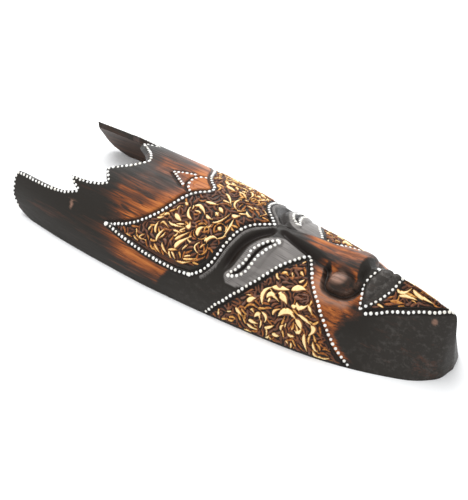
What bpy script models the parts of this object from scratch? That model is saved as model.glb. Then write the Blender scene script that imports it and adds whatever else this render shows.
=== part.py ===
"""Carved wooden wall mask, lying on its back.

One block of wood is carved as a long face with a horned crown, and its back is hollowed out.
The chin points along -Y, the horns along +Y and the face looks up along +Z.  The back rim lies
in the plane Z = 0.  Everything is symmetric about X = 0.

A place on the front is given by two shares: `girth`, from 0 on the middle ridge to 1 on the
back rim, measured round the section, and `place`, the position along Y as a share of the length.
"""
import bpy
import bmesh
import numpy as np

for old in list(bpy.data.objects):
    bpy.data.objects.remove(old)

# driving sizes, in metres
MASK_LENGTH = 0.500
MASK_WIDTH = 0.1714
RIDGE_HEIGHT = 0.0785        # middle ridge of the forehead above the back plane
FACE_WALL = 0.0105           # wood left behind the face
CROWN_WALL = 0.0065          # wood left in the crown
CROWN_BEVEL = 0.006          # how far the crown's sawn edge slants forward from front to back

NOSE_HEIGHT = 0.0115         # highest part of the nose above the face behind it
WING_HEIGHT = 0.0062         # nostril wings above the cheek
WING_GROOVE_WIDTH = 0.0078
WING_GROOVE_DEPTH = 0.0034
NOSE_CHANNEL_DEPTH = 0.0022
NOSE_CHANNEL_WIDTH = 0.0074
BROW_CHANNEL_DEPTH = 0.0038
BROW_CHANNEL_WIDTH = 0.011
LID_HEIGHT = 0.0022
EYE_SLIT_DEPTH = 0.0030
EYE_SLIT_WIDTH = 0.0048
LIP_HEIGHT = 0.0030
LOWER_LIP_SHARE = 0.66       # of the upper lip's height
LIP_CREASE_DEPTH = 0.0008
GROOVE_DEPTH = 0.0019        # V-cut beside each dotted border
GROOVE_WIDTH = 0.0037
GROOVE_SETBACK = 0.0029      # from the dotted border to the middle of its V-cut
FIELD_DEPTH = 0.0009         # ground of the scroll fields below the wood around them
SCROLL_HEIGHT = 0.0019       # scrolls above that ground
SCROLL_WIDTH = 0.0046

CHIN_TIP_PLAIN = (-0.480, -0.462)   # the carving fades out between these places of the ridge
RIM_PLAIN = 0.985                   # and past this girth, so that the back rim stays true

# fineness of the carved grid and of the finished faceted solid
HALF_COLUMNS = 96
ROWS = 300
FACET_BUDGET = 9500

WOOD_BROWN = (0.115, 0.042, 0.018, 1.0)
WOOD_ROUGHNESS = 0.38

# sections along the mask: place of the rim, place of the ridge, half width, ridge height,
# corner across, corner up, fullness.  The section is a conic from ridge to rim that is pulled
# towards its corner; the corner is a share of the half width and of the ridge height.
SECTIONS = np.array([
    (-0.500, -0.480, 0.000, 0.818, 0.00, 1.00, 4.00),
    (-0.493, -0.466, 0.193, 0.845, 0.21, 0.94, 4.00),
    (-0.476, -0.445, 0.316, 0.884, 0.31, 0.86, 4.00),
    (-0.451, -0.417, 0.428, 0.931, 0.40, 0.77, 4.00),
    (-0.401, -0.376, 0.559, 0.975, 0.48, 0.67, 3.50),
    (-0.346, -0.336, 0.673, 0.950, 0.54, 0.62, 2.60),
    (-0.295, -0.291, 0.753, 0.868, 0.72, 0.78, 1.20),
    (-0.236, -0.236, 0.819, 0.805, 0.95, 0.95, 0.68),
    (-0.171, -0.171, 0.870, 0.849, 1.00, 1.00, 0.53),
    (-0.102, -0.102, 0.915, 0.896, 1.00, 1.00, 0.46),
    (-0.036, -0.036, 0.948, 0.950, 1.00, 1.00, 0.44),
    (0.033, 0.033, 0.976, 0.994, 1.00, 1.00, 0.46),
    (0.135, 0.135, 1.000, 1.000, 1.00, 1.00, 0.48),
    (0.250, 0.250, 0.995, 0.987, 1.00, 1.00, 0.50),
    (0.338, 0.338, 0.978, 0.969, 1.00, 1.00, 0.54),
    (0.439, 0.439, 0.932, 0.956, 1.00, 1.00, 0.60),
    (0.506, 0.506, 0.892, 0.956, 1.00, 1.00, 0.62),
])

# the crown's edge from the middle notch to the rim: (girth, place)
CROWN_EDGE = [
    (0.000, 0.226), (0.055, 0.235), (0.110, 0.249), (0.175, 0.272), (0.238, 0.290),
    (0.293, 0.280), (0.343, 0.271), (0.374, 0.285), (0.402, 0.308), (0.416, 0.332),
    (0.424, 0.357), (0.457, 0.351), (0.486, 0.343), (0.515, 0.327), (0.548, 0.341),
    (0.572, 0.357), (0.592, 0.386), (0.602, 0.412), (0.608, 0.443), (0.613, 0.493),
    (0.680, 0.500), (0.755, 0.499), (0.831, 0.496), (0.883, 0.490), (0.935, 0.478),
    (0.968, 0.460), (1.000, 0.436),
]
CROWN_START = 0.190          # above this place the rows fan out to the crown's edge

# borders of the carved fields, from the middle outwards: (girth, place)
LEAF_TOP = [
    (0.000, 0.054), (0.030, 0.057), (0.080, 0.073), (0.137, 0.087), (0.214, 0.098),
    (0.288, 0.107), (0.357, 0.117), (0.425, 0.130), (0.485, 0.144), (0.539, 0.161),
    (0.593, 0.183), (0.656, 0.222),
]
LEAF_FOOT = [
    (0.000, -0.095), (0.035, -0.086), (0.095, -0.069), (0.149, -0.057), (0.215, -0.048),
    (0.288, -0.043), (0.356, -0.039), (0.425, -0.036), (0.495, -0.034), (0.560, -0.031),
    (0.620, -0.024), (0.677, -0.014), (0.731, 0.003), (0.747, 0.035), (0.742, 0.075),
    (0.728, 0.117), (0.708, 0.156), (0.685, 0.191), (0.656, 0.222),
]
CHEEK_TOP = [
    (0.116, -0.193), (0.160, -0.184), (0.240, -0.171), (0.324, -0.157), (0.444, -0.141),
    (0.560, -0.124), (0.677, -0.105), (0.780, -0.086), (0.874, -0.068), (1.000, -0.046),
]
CHEEK_FRONT = [
    (0.116, -0.193), (0.154, -0.203), (0.237, -0.216), (0.314, -0.227), (0.398, -0.242),
    (0.477, -0.257), (0.563, -0.271), (0.666, -0.287), (0.751, -0.300), (0.849, -0.316),
    (0.930, -0.334), (1.000, -0.352),
]
PETAL = [(0.000, 0.156), (0.022, 0.145), (0.052, 0.132), (0.080, 0.117)]
ARCH = [(0.000, 0.109), (0.035, 0.108), (0.066, 0.105), (0.090, 0.100), (0.106, 0.094)]
CHIN_EDGE = [(0.438, -0.341), (0.403, -0.361), (0.290, -0.410), (0.098, -0.465), (0.000, -0.482)]

BROW_CHANNEL = [(0.60, -0.056), (0.50, -0.061), (0.40, -0.064), (0.30, -0.070), (0.21, -0.080),
                (0.12, -0.095), (0.04, -0.112)]
EYE_SLIT = [(0.595, -0.074), (0.540, -0.087), (0.480, -0.0955), (0.410, -0.0990),
            (0.330, -0.1020), (0.250, -0.1080), (0.190, -0.117), (0.142, -0.128)]
NOSE_CHANNEL = [(0.030, -0.112), (0.070, -0.150), (0.100, -0.185), (0.126, -0.213),
                (0.150, -0.235)]
WING_GROOVE = [(0.150, -0.238), (0.200, -0.243), (0.250, -0.246), (0.300, -0.250),
               (0.338, -0.258), (0.356, -0.271), (0.356, -0.286), (0.338, -0.298),
               (0.300, -0.306), (0.250, -0.310), (0.190, -0.312)]
UPPER_LIP = [(0.00, -0.329), (0.06, -0.322), (0.11, -0.317), (0.17, -0.316), (0.25, -0.320),
             (0.34, -0.324), (0.40, -0.328)]
LIP_CREASE = [(0.00, -0.358), (0.10, -0.351), (0.20, -0.343), (0.30, -0.335), (0.40, -0.329)]
LOWER_LIP = [(0.00, -0.376), (0.11, -0.370), (0.19, -0.363), (0.27, -0.353), (0.35, -0.339),
             (0.40, -0.330)]

# the nose along its length: (place, share of the nose height), and half width in girth shares
NOSE_PROFILE = [(-0.325, 0.74), (-0.295, 0.86), (-0.252, 1.00), (-0.210, 0.90), (-0.161, 0.62),
                (-0.130, 0.27), (-0.100, 0.00)]
NOSE_HALF_WIDTH = [(-0.310, 0.118), (-0.255, 0.105), (-0.207, 0.068), (-0.161, 0.040),
                   (-0.100, 0.012)]
NOSE_END = (-0.300, -0.313)  # the blunt end face starts and ends at these places
WING_PLACE = (0.222, -0.277)
WING_REACH = (0.118, 0.028)
MOUTH_CORNER = 0.40          # girth where the lips end

# scrolls: girth and place of the middle, radius as a share of the length, start angle, turns
LEAF_SCROLLS = [
    (0.380, 0.019, 0.0130, 0.0, 1.0), (0.287, -0.012, 0.0110, 3.0, -1.1), (0.283, 0.055, 0.0110, 2.0, 1.1),
    (0.197, 0.015, 0.0120, 0.6, -1.1), (0.505, 0.003, 0.0120, 4.0, 1.1), (0.620, 0.129, 0.0090, 1.2, -1.1),
    (0.070, -0.015, 0.0115, 2.6, 1.1), (0.085, -0.056, 0.0105, 5.2, -1.1), (0.430, 0.072, 0.0180, 5.6, 0.5),
    (0.530, 0.062, 0.0200, 0.4, -0.5), (0.600, 0.022, 0.0170, 1.2, 0.6), (0.500, 0.112, 0.0150, 5.0, -0.6),
    (0.150, 0.048, 0.0110, 4.4, 0.8), (0.180, -0.026, 0.0100, 1.0, 0.8), (0.640, 0.075, 0.0150, 3.4, -0.6),
]
CHEEK_SCROLLS = [
    (0.600, -0.174, 0.0185, 2.2, -0.8), (0.540, -0.198, 0.0150, 1.2, -0.4), (0.420, -0.212, 0.0120, 2.8, 0.5),
    (0.530, -0.232, 0.0130, 2.4, 0.8), (0.710, -0.224, 0.0260, 2.0, -0.9), (0.630, -0.260, 0.0170, 2.2, -0.5),
    (0.830, -0.292, 0.0160, 1.8, 0.8), (0.770, -0.153, 0.0160, 2.2, -0.9), (0.700, -0.128, 0.0100, 0.8, 0.7),
    (0.860, -0.208, 0.0140, 2.0, -0.7), (0.870, -0.158, 0.0130, 3.6, 0.7), (0.780, -0.266, 0.0120, 1.4, -0.5),
    (0.330, -0.198, 0.0090, 1.0, 0.9), (0.880, -0.112, 0.0120, 4.4, 0.8), (0.880, -0.250, 0.0120, 0.8, -0.6),
]
CHIN_SCROLLS = [(0.150, -0.382, 0.0300, 4.7, 0.06), (0.250, -0.366, 0.0220, 4.5, -0.06),
                (0.070, -0.400, 0.0260, 4.9, 0.05)]

collection = bpy.data.collections.new("wooden wall mask")
bpy.context.scene.collection.children.link(collection)


def eased(x, low, high):
    """Goes smoothly from 0 at `low` to 1 at `high`."""
    t = np.clip((x - low) / (high - low), 0.0, 1.0)
    return t * t * (3.0 - 2.0 * t)


def through(knots, values, x):
    """A curve through the knots that makes no waves of its own between them."""
    knots = np.asarray(knots, float)
    values = np.asarray(values, float)
    step = np.diff(knots)
    slope = np.diff(values) / step
    tangent = np.zeros_like(values)
    tangent[0] = slope[0]
    tangent[-1] = slope[-1]
    before = 2.0 * step[1:] + step[:-1]
    after = step[1:] + 2.0 * step[:-1]
    same_way = slope[1:] * slope[:-1] > 0.0
    safe_low = np.where(same_way, slope[:-1], 1.0)
    safe_high = np.where(same_way, slope[1:], 1.0)
    tangent[1:-1] = np.where(same_way, (before + after) / (before / safe_low + after / safe_high), 0.0)
    i = np.clip(np.searchsorted(knots, x) - 1, 0, len(knots) - 2)
    t = np.clip((x - knots[i]) / step[i], 0.0, 1.0)
    start = values[i] * (2 * t**3 - 3 * t**2 + 1) + tangent[i] * step[i] * (t**3 - 2 * t**2 + t)
    return start + values[i + 1] * (3 * t**2 - 2 * t**3) + tangent[i + 1] * step[i] * (t**3 - t**2)


def curve_value(points, x):
    """Reads a list of (key, value) points as a smooth curve."""
    ordered = sorted(points)
    return through([p[0] for p in ordered], [p[1] for p in ordered], x)


def sections_at(station, girth, samples=201):
    """Points of the undecorated front, one row for each station and one column for each girth.

    Each section is a rational conic, read at equal shares of its own length.
    """
    numbers = np.arange(len(SECTIONS), dtype=float)
    rim, ridge, half, high, across, up, full = [
        through(numbers, SECTIONS[:, k], station)[:, None] for k in range(SECTIONS.shape[1])]
    half = half * MASK_WIDTH / 2.0
    high = high * RIDGE_HEIGHT
    t = np.linspace(0.0, 1.0, samples)[None, :]
    first = (1.0 - t) ** 2
    middle = 2.0 * full * t * (1.0 - t)
    last = t ** 2
    weight = first + middle + last
    x = (middle * across * half + last * half) / weight
    y = ((first + 0.5 * middle) * ridge + (0.5 * middle + last) * rim) / weight * MASK_LENGTH
    z = (first * high + middle * up * high) / weight
    walk = np.sqrt(np.diff(x, axis=1) ** 2 + np.diff(y, axis=1) ** 2 + np.diff(z, axis=1) ** 2)
    walk = np.concatenate([np.zeros((len(station), 1)), np.cumsum(walk, axis=1)], axis=1)
    length = walk[:, -1]
    lift = 2.0 * np.arange(len(station))[:, None]
    share = walk / length[:, None] + lift
    wanted = girth[None, :] + lift
    parts = [np.interp(wanted.ravel(), share.ravel(), part.ravel()).reshape(wanted.shape)
             for part in (x, y, z)]
    return np.stack(parts, axis=2), length


STATIONS = np.linspace(0.0, len(SECTIONS) - 1.0, 420)


def station_places():
    numbers = np.arange(len(SECTIONS), dtype=float)
    return through(numbers, (SECTIONS[:, 0] + SECTIONS[:, 1]) / 2.0, STATIONS)


def front_grid(girth, places):
    """Undecorated front at the given places (rows) and girths (columns): points and girth lengths."""
    table, length = sections_at(STATIONS, girth)
    along = station_places()
    points = np.empty(places.shape + (3,))
    lengths = np.empty(places.shape)
    for column in range(len(girth)):
        for axis in range(3):
            points[:, column, axis] = np.interp(places[:, column], along, table[:, column, axis])
        lengths[:, column] = np.interp(places[:, column], along, length)
    return points, lengths


def flat_path(shares, pieces=5):
    """A smooth path through (girth, place) points, in metres on the unrolled front."""
    shares = np.asarray(shares, float)
    knots = np.arange(len(shares), dtype=float)
    at = np.linspace(0.0, knots[-1], pieces * (len(shares) - 1) + 1)
    girth = np.interp(at, knots, shares[:, 0])
    place = through(knots, shares[:, 1], at)
    table, length = sections_at(STATIONS, girth, samples=81)
    around = [np.interp(p * MASK_LENGTH, table[:, k, 1], length) for k, p in enumerate(place)]
    return np.stack([girth * np.array(around), place * MASK_LENGTH], axis=1)


def distance_to(path, across, along):
    """Distance of every grid point from a path, and how far along the path the nearest point is."""
    best = np.full(across.shape, 1.0)
    share = np.zeros(across.shape)
    steps = np.linalg.norm(np.diff(path, axis=0), axis=1)
    total = steps.sum()
    walked = 0.0
    for start, end, step in zip(path[:-1], path[1:], steps):
        direction = (end - start) / step
        run = (across - start[0]) * direction[0] + (along - start[1]) * direction[1]
        run = np.clip(run, 0.0, step)
        gap = np.hypot(across - start[0] - direction[0] * run, along - start[1] - direction[1] * run)
        nearer = gap < best
        best = np.where(nearer, gap, best)
        share = np.where(nearer, (walked + run) / total, share)
        walked += step
    return best, share


def set_back(path, offset):
    """The path moved sideways by `offset`; positive is to the left of its direction."""
    along = np.gradient(path, axis=0)
    along /= np.linalg.norm(along, axis=1)[:, None]
    return path + offset * np.stack([-along[:, 1], along[:, 0]], axis=1)


def inside(outline, across, along):
    """True for the grid points inside a closed outline."""
    result = np.zeros(across.shape, bool)
    for (x0, y0), (x1, y1) in zip(outline, np.roll(outline, -1, axis=0)):
        if y0 == y1:
            continue
        crosses = (y0 > along) != (y1 > along)
        result ^= crosses & (across < (x1 - x0) * (along - y0) / (y1 - y0) + x0)
    return result


def groove(path, width, depth, across, along):
    """A V-cut along a path."""
    gap, _ = distance_to(path, across, along)
    return -depth * np.clip(1.0 - gap / (width / 2.0), 0.0, 1.0)


def channel(path, width, depth, ends, across, along):
    """A round-bottomed cut that runs out at its ends, over the given shares of its path."""
    gap, share = distance_to(path, across, along)
    taper = eased(share, 0.0, ends[0]) * (1.0 - eased(share, 1.0 - ends[1], 1.0))
    reach = width / 2.0 * (0.35 + 0.65 * taper)
    return -depth * taper * np.cos(np.pi / 2.0 * np.clip(gap / reach, 0.0, 1.0)) ** 2


def scroll_path(middle, start, turns, radius, steps=26):
    """A curl that winds inwards from its tail to its eye."""
    t = np.linspace(0.0, 1.0, steps)
    angle = start + turns * 2.0 * np.pi * t
    reach = radius * (1.0 - 0.82 * t)
    return np.stack([middle[0] + reach * np.cos(angle), middle[1] + reach * np.sin(angle)], axis=1)


def scrolls(field, across, along):
    """Raised curls of one field: half-round strokes, thickest in the middle of each stroke."""
    raised = np.zeros(across.shape)
    for girth, place, radius, start, turns in field:
        middle = flat_path([(girth, place), (girth, place + 0.001)], pieces=1)[0]
        gap, share = distance_to(scroll_path(middle, start, turns, radius * MASK_LENGTH), across, along)
        half = SCROLL_WIDTH / 2.0 * (0.45 + 0.55 * np.sin(np.pi * np.clip(share, 0.0, 1.0)))
        raised = np.maximum(raised, np.sqrt(np.clip(1.0 - (gap / half) ** 2, 0.0, 1.0)))
    return SCROLL_HEIGHT * raised


def nose(girth, place):
    """Flat-topped nose with a blunt end, and the wing beside its tip."""
    half = curve_value(NOSE_HALF_WIDTH, place)
    top = NOSE_HEIGHT * curve_value(NOSE_PROFILE, place)
    top = np.where(place > NOSE_PROFILE[-1][0], 0.0, top)
    bar = top * (1.0 - eased(girth, half, half + 0.055)) * (1.0 - 0.18 * np.clip(girth / half, 0, 1) ** 2)
    wing_x = (girth - WING_PLACE[0]) / WING_REACH[0]
    wing_y = (place - WING_PLACE[1]) / WING_REACH[1]
    wing = WING_HEIGHT * np.clip(1.0 - (np.abs(wing_x) ** 3 + np.abs(wing_y) ** 3), 0.0, 1.0)
    end = eased(place, NOSE_END[1], NOSE_END[0])
    return np.maximum(bar, wing) * end


def lips(girth, place):
    """Two rounded lips between the lip lines, parts of sine waves that meet in the crease."""
    top = curve_value(UPPER_LIP, girth)
    crease = curve_value(LIP_CREASE, girth)
    foot = curve_value(LOWER_LIP, girth)
    width = 1.0 - eased(girth, 0.6 * MOUTH_CORNER, MOUTH_CORNER)
    upper = np.sin(0.82 * np.pi * np.clip((top - place) / np.maximum(top - crease, 1e-4), 0.0, 1.0))
    down = np.clip((crease - place) / np.maximum(crease - foot, 1e-4), 0.0, 1.0)
    lower = LOWER_LIP_SHARE * np.maximum(np.sin(np.pi * (0.3 + 0.7 * down)), 0.0)
    swell = np.where(place > crease, upper, lower)
    return np.where(girth < MOUTH_CORNER, LIP_HEIGHT * (0.35 + 0.65 * width) * swell, 0.0)


def lid(across, along):
    """The almond-shaped eyelid on both sides of the slit."""
    gap, share = distance_to(flat_path(EYE_SLIT), across, along)
    reach = 0.024 * MASK_LENGTH * np.sqrt(np.clip(np.sin(np.pi * np.clip(share, 0.04, 0.96)), 0.0, 1.0))
    return LID_HEIGHT * np.sqrt(np.clip(1.0 - (gap / np.maximum(reach, 1e-4)) ** 2, 0.0, 1.0))


def front_relief(girth, points, lengths):
    """Height of the carving above the undecorated front, for one half of the mask."""
    across = girth[None, :] * lengths
    along = points[:, :, 1]
    place = along / MASK_LENGTH
    share = np.broadcast_to(girth[None, :], along.shape)

    leaf_top = flat_path(LEAF_TOP)
    leaf_foot = flat_path(LEAF_FOOT)
    cheek_top = flat_path(CHEEK_TOP)
    cheek_front = flat_path(CHEEK_FRONT)
    chin_edge = flat_path(CHIN_EDGE)
    lower_lip = flat_path(LOWER_LIP)
    leaf = inside(np.concatenate([leaf_top, leaf_foot[::-1]]), across, along)
    cheek = inside(np.concatenate([cheek_top, cheek_front[::-1]]), across, along)
    chin = inside(np.concatenate([lower_lip, chin_edge]), across, along)

    height = nose(share, place) + lips(share, place) + lid(across, along)
    for path, width, depth, ends in (
            (BROW_CHANNEL, BROW_CHANNEL_WIDTH, BROW_CHANNEL_DEPTH, (0.25, 0.12)),
            (EYE_SLIT, EYE_SLIT_WIDTH, EYE_SLIT_DEPTH, (0.16, 0.20)),
            (NOSE_CHANNEL, NOSE_CHANNEL_WIDTH, NOSE_CHANNEL_DEPTH, (0.12, 0.50))):
        height += channel(flat_path(path), width, depth, ends, across, along)
    height += groove(flat_path(LIP_CREASE), GROOVE_WIDTH, LIP_CREASE_DEPTH, across, along)

    for field, region, border in ((LEAF_SCROLLS, leaf, (leaf_top, leaf_foot)),
                                  (CHEEK_SCROLLS, cheek, (cheek_top, cheek_front)),
                                  (CHIN_SCROLLS, chin, (lower_lip, chin_edge))):
        gap = np.minimum(distance_to(border[0], across, along)[0], distance_to(border[1], across, along)[0])
        clear = eased(gap, GROOVE_SETBACK + GROOVE_WIDTH / 2.0, GROOVE_SETBACK + GROOVE_WIDTH)
        height += np.where(region, clear * (scrolls(field, across, along) - FIELD_DEPTH), 0.0)

    cuts = [set_back(leaf_top, GROOVE_SETBACK), set_back(leaf_foot, GROOVE_SETBACK),
            set_back(cheek_top, -GROOVE_SETBACK), set_back(cheek_front, GROOVE_SETBACK),
            set_back(flat_path(PETAL), GROOVE_SETBACK), set_back(flat_path(ARCH), GROOVE_SETBACK),
            set_back(chin_edge, -GROOVE_SETBACK)]
    deepest = groove(flat_path(WING_GROOVE), WING_GROOVE_WIDTH, WING_GROOVE_DEPTH, across, along)
    for cut in cuts:
        deepest = np.minimum(deepest, groove(cut, GROOVE_WIDTH, GROOVE_DEPTH, across, along))
    return height + deepest


def outward(points):
    """Unit normals of a grid whose rows run from chin to crown and columns from ridge to rim."""
    normal = np.cross(np.gradient(points, axis=0), np.gradient(points, axis=1))
    size = np.linalg.norm(normal, axis=2, keepdims=True)
    normal = normal / np.maximum(size, 1e-12)
    return np.where(normal[:, :1, 2:] > 0.0, normal, -normal)


def crown_columns():
    """Girths of the grid's columns: evenly spread, with one at each point of the crown's edge."""
    even = np.linspace(0.0, 1.0, HALF_COLUMNS + 1)
    corners = np.array([point[0] for point in CROWN_EDGE])
    spare = [g for g in even if np.min(np.abs(corners - g)) > 0.35 / HALF_COLUMNS]
    return np.sort(np.concatenate([corners, spare]))


def row_places(girth, bevel):
    """Places of the rows: level up to the crown, then fanned out to the crown's edge."""
    lower_rows = int(ROWS * 0.74)
    chin_side = np.linspace(0.0, 1.0, lower_rows + 1)
    level = SECTIONS[0, :2].mean() + (CROWN_START - SECTIONS[0, :2].mean()) * chin_side
    edge = np.interp(girth, [p[0] for p in CROWN_EDGE], [p[1] for p in CROWN_EDGE]) + bevel
    fan = np.linspace(0.0, 1.0, ROWS - lower_rows + 1)[1:, None]
    upper = CROWN_START + (edge[None, :] - CROWN_START) * fan
    return np.concatenate([np.repeat(level[:, None], len(girth), axis=1), upper])


def front_skin(girth):
    """One half of the carved front."""
    points, lengths = front_grid(girth, row_places(girth, 0.0))
    height = front_relief(girth, points, lengths)
    height *= eased(points[:, :1, 1] / MASK_LENGTH, *CHIN_TIP_PLAIN)
    height *= 1.0 - eased(girth, RIM_PLAIN, 1.0)[None, :]
    carved = points + outward(points) * height[:, :, None]
    carved[:, 0, 0] = 0.0
    carved[0, :, 0] = 0.0
    carved[:, -1, 2] = 0.0
    return carved


def hollow_skin(girth):
    """One half of the hollowed back: the plain front drawn in by the wall."""
    bevel = CROWN_BEVEL / MASK_LENGTH * (1.0 - eased(girth, 0.30, 0.42))
    points, _ = front_grid(girth, row_places(girth, bevel))
    place = points[:, :, 1] / MASK_LENGTH
    wall = FACE_WALL + (CROWN_WALL - FACE_WALL) * eased(place, 0.11, 0.24)
    half = np.maximum(points[:, -1:, 0], 0.29 * MASK_WIDTH)
    hollow = points.copy()
    hollow[:, :, 0] *= 1.0 - wall / half
    hollow[:, :, 2] *= 1.0 - wall / points[:, :1, 2]
    pivot = -0.34 * MASK_LENGTH
    shrink = 1.0 - FACE_WALL / (0.5 * MASK_LENGTH + pivot)
    hollow[:, :, 1] = np.where(points[:, :, 1] < pivot, pivot + (points[:, :, 1] - pivot) * shrink,
                               points[:, :, 1])
    hollow[:, 0, 0] = 0.0
    hollow[:, -1, 2] = 0.0
    return hollow


def both_sides(half):
    """The half grid and its mirror image as one grid from the -X rim to the +X rim."""
    mirrored = half[:, :0:-1].copy()
    mirrored[:, :, 0] *= -1.0
    return np.concatenate([mirrored, half], axis=1)


def grid_faces(rows, columns, first, turned):
    corner = (np.arange(rows - 1)[:, None] * columns + np.arange(columns - 1)[None, :]).ravel() + first
    quads = np.stack([corner, corner + 1, corner + columns + 1, corner + columns], axis=1)
    return quads[:, ::-1] if turned else quads


def shell_mesh(front, back):
    """Closes the front and the hollow into one solid, with a strip round the rim and the crown."""
    rows, columns = front.shape[:2]
    count = rows * columns
    faces = [grid_faces(rows, columns, 0, False), grid_faces(rows, columns, count, True)]
    crown = (rows - 1) * columns + np.arange(columns)
    left = np.arange(rows) * columns
    right = left + columns - 1
    for edge in (crown, left, right):
        faces.append(np.stack([edge[:-1], edge[1:], edge[1:] + count, edge[:-1] + count], axis=1))
    mesh = bpy.data.meshes.new("carved_mask")
    points = np.concatenate([front.reshape(-1, 3), back.reshape(-1, 3)])
    mesh.from_pydata(points.tolist(), [], np.concatenate(faces).tolist())
    work = bmesh.new()
    work.from_mesh(mesh)
    bmesh.ops.remove_doubles(work, verts=work.verts, dist=1e-6)
    bmesh.ops.recalc_face_normals(work, faces=work.faces)
    bmesh.ops.triangulate(work, faces=work.faces)
    work.to_mesh(mesh)
    work.free()
    return mesh


def wood():
    material = bpy.data.materials.new("burnt brown wood")
    material.use_nodes = True
    shader = material.node_tree.nodes["Principled BSDF"]
    shader.inputs["Base Color"].default_value = WOOD_BROWN
    shader.inputs["Roughness"].default_value = WOOD_ROUGHNESS
    shader.inputs["Metallic"].default_value = 0.0
    return material


def facetted(carved):
    """The finely carved object reduced to facets, small where it is carved, with a flat back rim."""
    reduce = carved.modifiers.new("facets", "DECIMATE")
    reduce.ratio = min(1.0, FACET_BUDGET / len(carved.data.polygons))
    graph = bpy.context.evaluated_depsgraph_get()
    mesh = bpy.data.meshes.new_from_object(carved.evaluated_get(graph))
    count = len(mesh.vertices)
    points = np.empty(count * 3)
    mesh.vertices.foreach_get("co", points)
    points = points.reshape(-1, 3)
    points[np.abs(points[:, 2]) < 2e-5, 2] = 0.0
    mesh.vertices.foreach_set("co", points.ravel())
    mesh.update()
    return mesh


def carve_mask():
    girth = crown_columns()
    front = both_sides(front_skin(girth))
    back = both_sides(hollow_skin(girth))
    fine = bpy.data.objects.new("carved_mask", shell_mesh(front, back))
    collection.objects.link(fine)
    bpy.context.view_layer.update()
    fine.data = facetted(fine)
    fine.modifiers.clear()
    fine.data.materials.append(wood())
    return fine


mask = carve_mask()
print("facets", len(mask.data.polygons))
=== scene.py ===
# Carved wooden wall mask, lying on its back rim on a pale table.
import math

import bmesh
import bpy
import numpy as np
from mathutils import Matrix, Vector


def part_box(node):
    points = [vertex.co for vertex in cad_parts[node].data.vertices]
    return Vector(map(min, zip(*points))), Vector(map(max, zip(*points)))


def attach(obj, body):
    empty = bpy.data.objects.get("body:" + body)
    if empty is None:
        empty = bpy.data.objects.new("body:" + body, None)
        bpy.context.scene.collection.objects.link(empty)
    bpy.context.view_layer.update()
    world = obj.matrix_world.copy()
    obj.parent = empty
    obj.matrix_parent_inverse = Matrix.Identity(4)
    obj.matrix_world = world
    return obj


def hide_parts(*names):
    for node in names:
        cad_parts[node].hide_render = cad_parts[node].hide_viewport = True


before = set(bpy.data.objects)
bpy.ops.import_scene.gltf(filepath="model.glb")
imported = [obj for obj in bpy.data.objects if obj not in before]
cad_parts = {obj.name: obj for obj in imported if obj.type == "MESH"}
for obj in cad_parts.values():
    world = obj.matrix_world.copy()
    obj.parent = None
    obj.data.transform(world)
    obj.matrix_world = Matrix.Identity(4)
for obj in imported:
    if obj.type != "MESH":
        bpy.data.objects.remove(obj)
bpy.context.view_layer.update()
print("frame loaded")

scene = bpy.context.scene
boxLow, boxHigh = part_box("carved_mask")
maskLength = boxHigh[1] - boxLow[1]
maskWidth = boxHigh[0] - boxLow[0]
mm = 0.001

# the form of the front
# A place on the front is (girth, place). Girth is 0 on the middle ridge and 1 on the back rim,
# measured round the section. Place runs along Y as a share of the length, -0.5 at the chin.
form = {
    "ridgeHeight": 78.5 * mm,
    "faceWall": 10.5 * mm,
    "crownWall": 6.5 * mm,
    "crownBevel": 6.0 * mm,     # how far the sawn edge slants forward from front to back
    "crownStart": 0.190,        # rows above this place fan out to the crown's edge
    "chinTipPlain": (-0.480, -0.462),
    "rimPlain": 0.985,
    "edgeRadius": 0.7 * mm,
    "bevelGirths": (0.30, 0.42),    # the slant runs out between these
    "wallPlaces": (0.11, 0.24),     # the wall thins between these
    "leastHalf": 0.29,              # of the width, for drawing the hollow in
    "hollowPivot": -0.34,           # place below which the hollow is also shortened
}
# place of rim, place of ridge, half width, ridge height, corner across, corner up, fullness
sectionList = np.array([
    (-0.500, -0.480, 0.000, 0.818, 0.00, 1.00, 4.00),
    (-0.493, -0.466, 0.193, 0.845, 0.21, 0.94, 4.00),
    (-0.476, -0.445, 0.316, 0.884, 0.31, 0.86, 4.00),
    (-0.451, -0.417, 0.428, 0.931, 0.40, 0.77, 4.00),
    (-0.401, -0.376, 0.559, 0.975, 0.48, 0.67, 3.50),
    (-0.346, -0.336, 0.673, 0.950, 0.54, 0.62, 2.60),
    (-0.295, -0.291, 0.753, 0.868, 0.72, 0.78, 1.20),
    (-0.236, -0.236, 0.819, 0.805, 0.95, 0.95, 0.68),
    (-0.171, -0.171, 0.870, 0.849, 1.00, 1.00, 0.53),
    (-0.102, -0.102, 0.915, 0.896, 1.00, 1.00, 0.46),
    (-0.036, -0.036, 0.948, 0.950, 1.00, 1.00, 0.44),
    (0.033, 0.033, 0.976, 0.994, 1.00, 1.00, 0.46),
    (0.135, 0.135, 1.000, 1.000, 1.00, 1.00, 0.48),
    (0.250, 0.250, 0.995, 0.987, 1.00, 1.00, 0.50),
    (0.338, 0.338, 0.978, 0.969, 1.00, 1.00, 0.54),
    (0.439, 0.439, 0.932, 0.956, 1.00, 1.00, 0.60),
    (0.506, 0.506, 0.892, 0.956, 1.00, 1.00, 0.62),
])
stationLine = np.linspace(0.0, len(sectionList) - 1.0, 420)

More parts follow.
